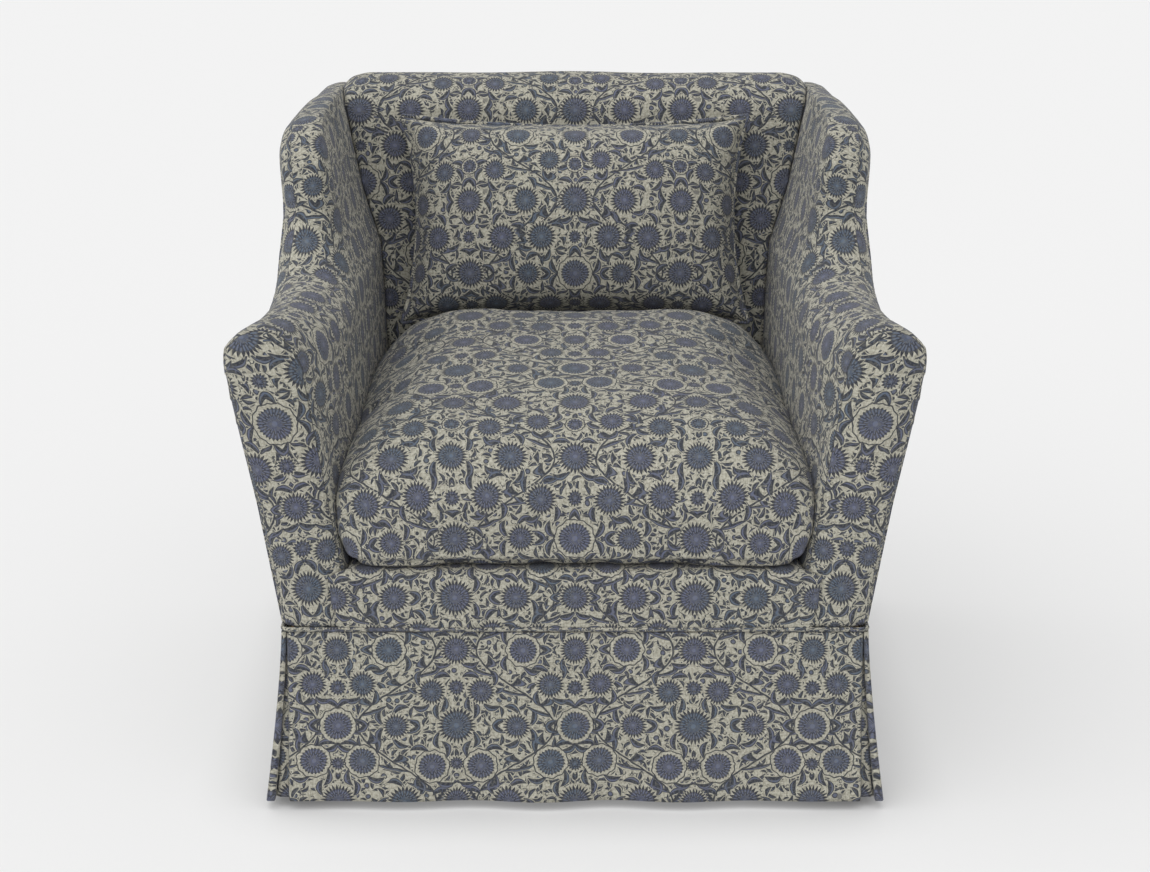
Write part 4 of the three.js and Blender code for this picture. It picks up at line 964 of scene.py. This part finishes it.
# %% Skirt panels
BASE_WIDTH, BASE_DEPTH = 0.690, 0.703
HEM, SKIRT_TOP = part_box("front_skirt")[0].z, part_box("front_skirt")[1].z
SKIRT_SET, SKIRT_WAVE = 0.001, 0.0016
END_FLARE, SIDE_FLARE, UNDERLAY_SHARE = 0.012, 0.024, 0.85
PLEAT_RETURN, PLEAT_TURN, PLEAT_SWELL = 0.042, 0.0016, 1.5
LAYER_STEP = 2 * PLEAT_TURN + SHEET_CLOTH + 0.0008
WAVES = 4


def panel_plan(length, waves):
    run = length / 2 - PLEAT_TURN
    share = np.linspace(0, 1, 120)[1:-1]
    wave = SKIRT_WAVE * np.sin(math.pi * share) * np.sin(2 * math.pi * waves * share)
    return np.concatenate([
        [[-run + PLEAT_RETURN, PLEAT_TURN * 2]],
        arc_points(-run, PLEAT_TURN, PLEAT_TURN, 90, 270),
        np.stack([run * (2 * share - 1), wave], axis=1),
        arc_points(run, PLEAT_TURN, PLEAT_TURN, -90, 90),
        [[run - PLEAT_RETURN, PLEAT_TURN * 2]],
    ])


def hang(name, path, drop, drift, node, columns):
    """Hangs a sheet from its path; drop(spots, fallen) gives the place of each point."""
    piece, across, up = flat_grid(name, columns, 36)
    spots, length = along_path(path, across)
    put_points(piece, drop(spots, 1 - up, up))
    height = SKIRT_TOP - HEM
    middle = (across - 0.5) * length
    keep_vectors(piece, "cloth", np.stack([middle + drift, up * height, up * 0], axis=1))
    finish_with(piece, "SOLIDIFY", thickness=SHEET_CLOTH, offset=0, use_even_offset=True)
    only(piece)
    bpy.ops.object.shade_smooth()
    wears(piece, print_cloth, "chair", node)
    print(name, "flat", round(length, 3), "x", round(height, 3))
    return piece


def skirt_panel(name, length, flare, spread, turn, place_x, place_y, node, drift=0.0):
    def drop(spots, fallen, up):
        out = flare * fallen ** 1.3
        x = spots[:, 0] * (1 + 2 * out * spread / length)
        y = spots[:, 1] * (1 + PLEAT_SWELL * fallen) - out
        cosine, sine = math.cos(turn), math.sin(turn)
        place = [cosine * x - sine * y + place_x, sine * x + cosine * y + place_y, HEM + up * (SKIRT_TOP - HEM)]
        return np.stack(place, axis=1)

    return hang(name, panel_plan(length, WAVES), drop, drift, node, 260)


end_length = BASE_WIDTH - 2 * (SKIRT_SET + LAYER_STEP)
side_length = BASE_DEPTH - 2 * SKIRT_SET
front_line, rear_line = front_plane + SKIRT_SET, front_plane + BASE_DEPTH - SKIRT_SET
side_line, side_middle = BASE_WIDTH / 2 - SKIRT_SET, front_plane + BASE_DEPTH / 2
skirt_panel("front_skirt_cloth", end_length, END_FLARE, 0.3, 0, 0, front_line, "front_skirt")
skirt_panel("rear_skirt_cloth", end_length, END_FLARE, 0.3, math.pi, 0, rear_line, "rear_skirt")
skirt_panel("right_skirt_cloth", side_length, SIDE_FLARE, 0.5, math.pi / 2, side_line, side_middle, "right_side_skirt", 0.07)
skirt_panel("left_skirt_cloth", side_length, SIDE_FLARE, 0.5, -math.pi / 2, -side_line, side_middle, "left_side_skirt", 0.07)

# %% Pleat underlays
PLEAT_REACH, FOLD = 0.07, 0.004


def underlay(name, node, side, end):
    x = BASE_WIDTH / 2 - SKIRT_SET - LAYER_STEP
    y = front_line + LAYER_STEP if end == 0 else rear_line - LAYER_STEP
    inward = 1 if end == 0 else -1
    path = np.array([(x - PLEAT_REACH, y), (x - FOLD, y), (x, y + inward * FOLD), (x, y + inward * PLEAT_REACH)])

    def drop(spots, fallen, up):
        x = spots[:, 0] + SIDE_FLARE * UNDERLAY_SHARE * fallen
        y = spots[:, 1] - inward * END_FLARE * UNDERLAY_SHARE * fallen
        hem = HEM + 0.002
        places = [x * side, y, hem + up * (SKIRT_TOP - hem)]
        return np.stack(places, axis=1)

    hang(name, path, drop, 0.02, node, 40)


for side, word in ((1, "right"), (-1, "left")):
    underlay(f"{word}_front_pleat_cloth", f"{word}_front_pleat_underlay", side, 0)
    underlay(f"{word}_rear_pleat_cloth", f"{word}_rear_pleat_underlay", side, 1)

# %% [markdown]
# ## Welt and piping
# A welt is a cord in a strip of cloth cut on the bias, sewn into a seam. Here a grid is
# wrapped round its path; the print crosses it at 45 degrees, as it does on a bias strip.

# %% Cord in cloth
def wrapped_cord(name, path, up, radius, columns, sides=10):
    """A closed tube round a closed path, with a bias-cut print."""
    piece, along, around = flat_grid(name, columns, sides)
    loop = np.concatenate([path, path[:1]])
    spots, length = along_path(loop, along)
    ahead, _ = along_path(loop, (along + 0.002) % 1)
    forward = ahead - spots
    forward /= np.linalg.norm(forward, axis=1)[:, None]
    up = np.array(up, dtype=float)
    side = np.cross(forward, up)
    side /= np.linalg.norm(side, axis=1)[:, None]
    angle = 2 * math.pi * around
    put_points(piece, spots + radius * (np.cos(angle)[:, None] * side + np.sin(angle)[:, None] * up))
    wide, high = along * length, around * 2 * math.pi * radius
    keep_vectors(piece, "cloth", np.stack([(wide + high) * 0.7, (wide - high) * 0.7, wide * 0], axis=1))
    bpy.ops.object.mode_set(mode="EDIT")
    bpy.ops.mesh.select_all(action="SELECT")
    bpy.ops.mesh.remove_doubles(threshold=0.00001)
    bpy.ops.mesh.normals_make_consistent(inside=False)
    bpy.ops.object.mode_set(mode="OBJECT")
    bpy.ops.object.shade_smooth()
    return piece


WELT_CORNER = 0.008
welt_lo, welt_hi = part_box("base_welt")
welt_radius = (welt_hi.z - welt_lo.z) / 2
half_width, reach = BASE_WIDTH / 2 - SKIRT_SET, WELT_CORNER
corners = [(1, 1, 0), (-1, 1, 90), (-1, -1, 180), (1, -1, 270)]
plan = np.concatenate([
    arc_points(
        x * (half_width - reach),
        side_middle + y * (BASE_DEPTH / 2 - SKIRT_SET - reach),
        reach, start, start + 90,
    )
    for x, y, start in corners
])
plan = np.column_stack([plan, np.full(len(plan), (welt_lo.z + welt_hi.z) / 2)])
welt = wrapped_cord("skirt_welt", plan, (0, 0, 1), welt_radius, 900)
wears(welt, print_cloth, "chair", "base_welt")

# %% [markdown]
# ## Seat cushion and back pillow
# Loose cushions are sewn flat and then filled, so the filling pushes the cover out until
# the cloth holds it. The cloth simulation does just that: it starts from the form of the
# filling, a little smaller than the cover, and presses outwards for twenty steps. How far a
# point may move is capped, so that the cushion still fits between the arms.

# %% Filling a cover
CLOTH_STEPS = 20


def puffed(piece, pressure, limit, fit):
    """Swells a remeshed form with the cloth simulation; fit keeps each point where there is room."""
    start = points_of(piece)
    only(piece)
    cloth = piece.modifiers.new("cloth", "CLOTH")
    cloth.settings.use_pressure = True
    cloth.settings.uniform_pressure_force = pressure
    cloth.settings.quality = 4
    cloth.settings.tension_stiffness = cloth.settings.compression_stiffness = 12
    cloth.settings.bending_stiffness = 0.4
    cloth.settings.effector_weights.gravity = 0
    cloth.collision_settings.use_collision = False
    cloth.point_cache.frame_start, cloth.point_cache.frame_end = 1, CLOTH_STEPS
    for step in range(1, CLOTH_STEPS + 1):
        bpy.context.scene.frame_set(step)
    bpy.ops.object.modifier_apply(modifier="cloth")
    bpy.context.scene.frame_set(1)
    moved = points_of(piece) - start
    far = np.linalg.norm(moved, axis=1)
    moved *= np.minimum(1, limit / np.maximum(far, 0.000001))[:, None]
    put_points(piece, fit(start + moved))
    print(piece.name, "swelled by", round(float(far.max()) * 1000, 1), "mm, kept to", limit * 1000)


print("filling ready")

# %% [markdown]
# The lower edge of the seat cushion is a sewn seam that stays almost square, while the top
# crowns. Remeshing and smoothing round that edge away, so afterwards each level near the
# foot is widened again to the plan of the level above it, as far as the arms leave room.

# %% Room between the arms, and the square foot
ROOM = 0.0008
FOOT_HEIGHT, FOOT_EDGE, FOOT_SEAM = 0.055, 0.004, 0.003
SIDE_FULLNESS = 0.075
cover_lo, cover_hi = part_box("seat_cushion_cover")
arm_side = BVHTree.FromObject(right_arm, bpy.context.evaluated_depsgraph_get())


def between_arms(places):
    places[:, 1] = np.clip(places[:, 1], cover_lo.y - 0.006, cover_hi.y - ROOM)
    places[:, 2] = np.clip(places[:, 2], cover_lo.z + ROOM, cover_hi.z + 0.006)
    for place in places:
        if abs(place[0]) > 0.2:
            hit = arm_side.ray_cast(Vector((0.1, place[1], place[2])), Vector((1, 0, 0)), 0.3)[0]
            limit = hit.x - ROOM if hit else cover_hi.x
            place[0] = math.copysign(min(abs(place[0]), limit), place[0])
    return places


def full_sides(places):
    """The cushion fills the room between the arms, its foot a little less than its sides."""
    rise = np.clip((places[:, 2] - cover_lo.z) / FOOT_HEIGHT, 0, 1)
    places[:, 0] *= 1 + SIDE_FULLNESS * (0.35 + 0.65 * rise)
    return places


def square_foot(places):
    middle = np.array(((cover_lo.x + cover_hi.x) / 2, (cover_lo.y + cover_hi.y) / 2))
    half = np.array(((cover_hi.x - cover_lo.x) / 2, (cover_hi.y - cover_lo.y) / 2))
    plan = (places[:, :2] - middle) / half
    height = places[:, 2] - cover_lo.z
    low = np.clip((0.13 - height) / 0.09, 0, 1)

    def reach(power):
        return (np.abs(plan) ** power).sum(axis=1) ** (1 / power)

    plan *= ((reach(6.7) / np.maximum(reach(22), 0.001)) ** low)[:, None]
    levels = np.linspace(0, FOOT_HEIGHT, 12)
    at_edge = reach(22)
    widest = [at_edge[np.abs(height - level) < 0.005].max() for level in levels]
    wanted = widest[-1] * (1 - 0.012 * np.clip(1 - height / FOOT_EDGE, 0, 1))
    wider = np.maximum(wanted / np.interp(height, levels, widest), 1)
    plan *= np.where(height < FOOT_HEIGHT, wider, 1)[:, None]
    places[:, :2] = middle + plan * half
    return places


print("cushion foot ready")

# %% Seat cushion
seat_cushion = merged_copy("seat_cushion_cloth", "seat_cushion_filling")
finish_with(seat_cushion, "REMESH", mode="VOXEL", voxel_size=0.0062, use_smooth_shade=True)
smoothed(seat_cushion, 8)
put_points(seat_cushion, points_of(seat_cushion) + normals_of(seat_cushion) * 0.001)


puffed(seat_cushion, 2.5, 0.008, between_arms)
smoothed(seat_cushion, 2)
finish_with(seat_cushion, "SUBSURF", levels=1, render_levels=1)
places = points_of(seat_cushion)
top = 0.5 + 0.5 * np.tanh((places[:, 2] - cover_lo.z - 0.02) / 0.01)
swell = ripples(places, 0.22, 11) * 0.0014 * top
places = places + normals_of(seat_cushion) * swell[:, None]
put_points(seat_cushion, between_arms(full_sides(square_foot(places))))
keep_vectors(seat_cushion, "cloth", laid_flat(seat_cushion, (0, -0.4, 1), (1, 0, 0), (0, 1, 0.4), (0, 0.06)))
keep_vectors(seat_cushion, "cloth_2", laid_flat(seat_cushion, (0, 0, -1), (1, 0, 0), (0, -1, 0)))
keep_values(seat_cushion, "seam_2", 1 + cover_lo.z + FOOT_SEAM - points_of(seat_cushion)[:, 2])
wears(seat_cushion, print_cloth, "seat_cushion", "seat_cushion_cover", "seat_cushion_filling")

# %% [markdown]
# The pillow is two panels sewn together with a piping between them. Its seam is pinched, so
# the swelled form is drawn out at its edge until it meets the piping all round, the most at
# the corners, which stick out as ears.

# %% Back pillow
PILLOW_TILT, PILLOW_SPREAD = math.radians(18.5), 1.04
PILLOW_WIDTH, PILLOW_HEIGHT, PILLOW_DRAW = 0.448 * PILLOW_SPREAD, 0.280, 0.09
PIPING_RADIUS, PINCH = 0.003, 5
pillow_front = (0, -math.cos(PILLOW_TILT), math.sin(PILLOW_TILT))
pillow_up = (0, math.sin(PILLOW_TILT), math.cos(PILLOW_TILT))
pillow_rear = tuple(-part for part in pillow_front)
piping_lo, piping_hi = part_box("back_pillow_piping")
centre = (np.array(piping_lo) + np.array(piping_hi)) / 2

rim = []
for side in range(4):
    for along in np.sin(np.radians(np.linspace(-90, 90, 60, endpoint=False))):
        s, t = [(along, -1), (1, along), (-along, 1), (-1, -along)][side]
        wide = (PILLOW_WIDTH / 2) * (1 - PILLOW_DRAW * (1 - t * t)) * s
        high = (PILLOW_HEIGHT / 2) * (1 - PILLOW_DRAW * 1.2 * (1 - s * s)) * t
        rim.append((wide, high))
rim = np.array(rim)


def as_it_is(places):
    return places


def drawn_to_piping(places):
    """Moves the edge of the pillow out in its own plane until it meets the piping."""
    offsets = places - centre
    wide, high, deep = offsets[:, 0], offsets @ np.array(pillow_up), offsets @ np.array(pillow_front)
    far, angle = np.hypot(wide, high), np.arctan2(high, wide)
    ways = np.radians(np.arange(-180, 180, 2))
    apart = [np.abs((angle - way + math.pi) % (2 * math.pi) - math.pi) for way in ways]
    reach = [far[near < 0.03].max() for near in apart]
    share = np.minimum(1.012 * far / np.interp(angle, ways, reach, period=2 * math.pi), 1)
    rim_angle, rim_far = np.arctan2(rim[:, 1], rim[:, 0]), np.hypot(rim[:, 0], rim[:, 1])
    wanted = np.interp(angle, rim_angle, rim_far, period=2 * math.pi) + PIPING_RADIUS / 2
    factor = 1 + (wanted * share / far - 1) * share ** PINCH
    deep = deep * (1 - 0.8 * share ** (PINCH * 4))
    flat = np.outer(wide * factor, (1, 0, 0)) + np.outer(high * factor, pillow_up)
    return centre + flat + np.outer(deep, pillow_front)


pillow = merged_copy("back_pillow_cloth", "back_pillow_filling")
finish_with(pillow, "REMESH", mode="VOXEL", voxel_size=0.005, use_smooth_shade=True)
smoothed(pillow, 8)
put_points(pillow, (points_of(pillow) + normals_of(pillow) * 0.002) * (PILLOW_SPREAD, 1, 1))
puffed(pillow, 2.0, 0.004, as_it_is)
smoothed(pillow, 2)
finish_with(pillow, "SUBSURF", levels=1, render_levels=1)
put_points(pillow, drawn_to_piping(points_of(pillow)))
keep_vectors(pillow, "cloth", laid_flat(pillow, pillow_front, (1, 0, 0), pillow_up, (0, 0.02)))
keep_vectors(pillow, "cloth_2", laid_flat(pillow, pillow_rear, (-1, 0, 0), pillow_up, (0, 0.05)))
keep_values(pillow, "seam_2", 1 + (points_of(pillow) - centre) @ np.array(pillow_rear))
wears(pillow, print_cloth, "back_pillow", "back_pillow_cover", "back_pillow_filling")

# %% Pillow piping
rim = centre + rim[:, :1] * np.array((1.0, 0, 0)) + rim[:, 1:] * np.array(pillow_up)
piping = wrapped_cord("back_pillow_cord", rim, pillow_front, PIPING_RADIUS, 1100)
wears(piping, print_cloth, "back_pillow", "back_pillow_piping")

# %% [markdown]
# ## Seat deck and underside
# Under the cushion lies the deck: a plain lining over a thin felt pad on the springs. It is
# soft, so it is remeshed and pressed in a little where people sit. The underside of the
# frame is closed by a thin black cloth, stapled tight round the legs and a little slack in
# the middle, so its solid is cut into a grid and that grid sinks by a few millimetres.

# %% Plain cloth materials
def plain_cloth(name, tone, darker, thread, strength):
    """A plain weave; tone and darker are the light and dark end of its yarn."""
    material = bpy.data.materials.new(name)
    material.use_nodes = True
    tree = material.node_tree
    where = tree.nodes.new("ShaderNodeTexCoord")
    where = Amount(tree, where.outputs["Object"])
    x, y, z = parts_of(tree, where)
    weave = place_group(tree, linen, Cloth=vector_of(tree, x + z * 0.6, y + z * 0.8), Thread=thread)
    stain, _ = noise_at(tree, where, 14, 3.0)
    share = (weave["Tone"] - 0.5) * 1.8 + stain
    shader = tree.nodes["Principled BSDF"]
    feed(tree, mixed(tree, share, colour(*darker), colour(*tone)), shader.inputs["Base Color"])
    shader.inputs["Roughness"].default_value = 0.95
    shader.inputs["Specular IOR Level"].default_value = 0.2
    raised(tree, weave["Height"], strength, 0.0005)
    return material


deck_cloth = plain_cloth("deck_lining_cloth", (214, 206, 186), (186, 177, 156), 1.1, 0.4)
black_cloth = plain_cloth("black_cambric", (46, 46, 49), (26, 26, 28), 0.8, 0.3)
jute = plain_cloth("jute_webbing_weave", (164, 140, 100), (108, 88, 58), 2.6, 0.9)
print("plain cloths ready")

# %% Deck and underside cloth
DECK_DENT, UNDERSIDE_SAG = 0.0015, 0.004

deck = soft_copy("seat_deck_lining", "deck_pad", voxel=0.004, passes=3, dent=0.0003, seed=8)
places = points_of(deck)
deck_lo, deck_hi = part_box("deck_pad")
deck_x = places[:, 0] / deck_hi.x
deck_y = (places[:, 1] - (deck_lo.y + deck_hi.y) / 2) / (deck_hi.y - deck_lo.y) * 2
places[:, 2] -= DECK_DENT * np.clip(1 - deck_x ** 2, 0, 1) * np.clip(1 - deck_y ** 2, 0, 1)
places[:, 2] = np.clip(places[:, 2], deck_lo.z, deck_hi.z)
put_points(deck, places)
wears(deck, deck_cloth, "chair", "deck_pad", slot="deck_lining")

underside = flat_panel("black_underside_cloth", "dust_cloth", (0, 0, -1), 20, edge=0.0002, meets_roll=False)
places = points_of(underside)
under_lo, under_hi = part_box("dust_cloth")
under_x = places[:, 0] / under_hi.x
under_y = (places[:, 1] - (under_lo.y + under_hi.y) / 2) / (under_hi.y - under_lo.y) * 2
places[:, 2] -= UNDERSIDE_SAG * np.clip(1 - under_x ** 4, 0, 1) * np.clip(1 - under_y ** 4, 0, 1)
put_points(underside, places)
wears(underside, black_cloth, "chair", "dust_cloth", slot="black_cloth")

# %% [markdown]
# ## Hard pieces
# The frame is sawn beech: pale, straight grained, with short dark flecks. A noise that is
# stretched along a board reads as grain, so there is one material for boards that run
# across, one for those that run to the rear and one for upright ones. Springs and clips are
# bare steel with faint drawing marks, and the glides are slightly scuffed nylon.

# %% Wood
def wood(name, along, pale, deep, roughness):
    material = bpy.data.materials.new(name)
    material.use_nodes = True
    tree = material.node_tree
    where = tree.nodes.new("ShaderNodeTexCoord")
    parts = parts_of(tree, Amount(tree, where.outputs["Object"]))
    parts[along] = parts[along] * 0.06
    stretched = vector_of(tree, *parts)
    grain, _ = noise_at(tree, stretched, 160, 4.0, 0.6)
    rings, _ = noise_at(tree, stretched, 34, 2.0)
    parts[along] = parts[along] * 3
    fleck, _ = noise_at(tree, vector_of(tree, *parts), 620, 1.0)
    share = (grain - 0.5) * 1.5 + rings
    look = mixed(tree, share, colour(*deep), colour(*pale))
    flecks = inside(0.66 - fleck, 0.06) * 0.35
    look = mixed(tree, flecks, look, colour(*[part * 0.7 for part in deep]))
    shader = tree.nodes["Principled BSDF"]
    feed(tree, look, shader.inputs["Base Color"])
    feed(tree, roughness + (grain - 0.5) * 0.25, shader.inputs["Roughness"])
    raised(tree, grain, 0.25, 0.0004)
    return material


beech = [wood(f"beech_{way}", axis, (222, 192, 150), (188, 150, 106), 0.62)
         for axis, way in enumerate(("across", "to_the_rear", "upright"))]
stained_wood = wood("stained_leg_wood", 2, (92, 62, 42), (52, 33, 22), 0.38)
print("woods ready")

# %% Steel and nylon
def worn(name, tone, darker, scale, roughness, metallic):
    material = bpy.data.materials.new(name)
    material.use_nodes = True
    tree = material.node_tree
    where = tree.nodes.new("ShaderNodeTexCoord")
    where = Amount(tree, where.outputs["Object"])
    patches, _ = noise_at(tree, where, scale, 4.0, 0.6)
    marks, _ = noise_at(tree, where, scale * 12, 2.0)
    shader = tree.nodes["Principled BSDF"]
    look = mixed(tree, patches * 1.6 - 0.3, colour(*darker), colour(*tone))
    feed(tree, look, shader.inputs["Base Color"])
    feed(tree, roughness + (patches - 0.5) * 0.3 + (marks - 0.5) * 0.2, shader.inputs["Roughness"])
    shader.inputs["Metallic"].default_value = metallic
    raised(tree, marks, 0.15, 0.0002)
    return material


spring_steel = worn("bare_spring_steel", (176, 177, 178), (128, 128, 131), 40, 0.35, 1.0)
nylon = worn("scuffed_nylon", (226, 225, 219), (196, 194, 186), 90, 0.45, 0.0)
print("steel and nylon ready")

# %% Zips
def zip_finish(name, level):
    """Coil teeth along the middle of a woven tape; level is the height of that middle."""
    material = bpy.data.materials.new(name)
    material.use_nodes = True
    tree = material.node_tree
    where = tree.nodes.new("ShaderNodeTexCoord")
    x, _, z = parts_of(tree, Amount(tree, where.outputs["Object"]))
    tooth = size_of(share_of(x * (1000 / 1.3)) - 0.5) * 2
    band = inside(size_of(z - level) * 1000 - 1.6, 0.4)
    rib = size_of(share_of(x * (1000 / 0.7)) - 0.5) * 2
    teeth = band * inside(0.35 - tooth, 0.2)
    look = mixed(tree, rib * 0.6, colour(48, 51, 60), colour(66, 69, 80))
    # Inside the band the gaps between the teeth are darker than the tape: painted shade between the teeth.
    look = mixed(tree, band, look, mixed(tree, teeth, colour(30, 31, 36), colour(112, 115, 124)))
    shader = tree.nodes["Principled BSDF"]
    feed(tree, look, shader.inputs["Base Color"])
    feed(tree, 0.85 - teeth * 0.45, shader.inputs["Roughness"])
    raised(tree, rib * (1 - band) * 0.3 + teeth, 0.6, 0.0006)
    return material


for node, name in (("seat_cushion_zip", "cushion_zip"), ("back_pillow_zip", "pillow_zip")):
    lo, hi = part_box(node)
    nodes[node].data.materials[0] = zip_finish(name, (lo.z + hi.z) / 2)
print("zips ready")

# %% Finishes of the solids that stay
def finish_of(name):
    lo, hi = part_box(name)
    if "leg" in name:
        return stained_wood
    if "glide" in name:
        return nylon
    if "spring" in name or "clip" in name:
        return spring_steel
    if "strap" in name:
        return jute
    longest = max(range(3), key=lambda axis: hi[axis] - lo[axis])
    return beech[longest]


HARD = ("rail", "post", "block", "board", "leg", "glide", "spring", "clip", "strap")
kept = [name for name in nodes if any(word in name for word in HARD)]
for name in kept:
    nodes[name].data.materials[0] = finish_of(name)
print("solids finished:", len(kept))
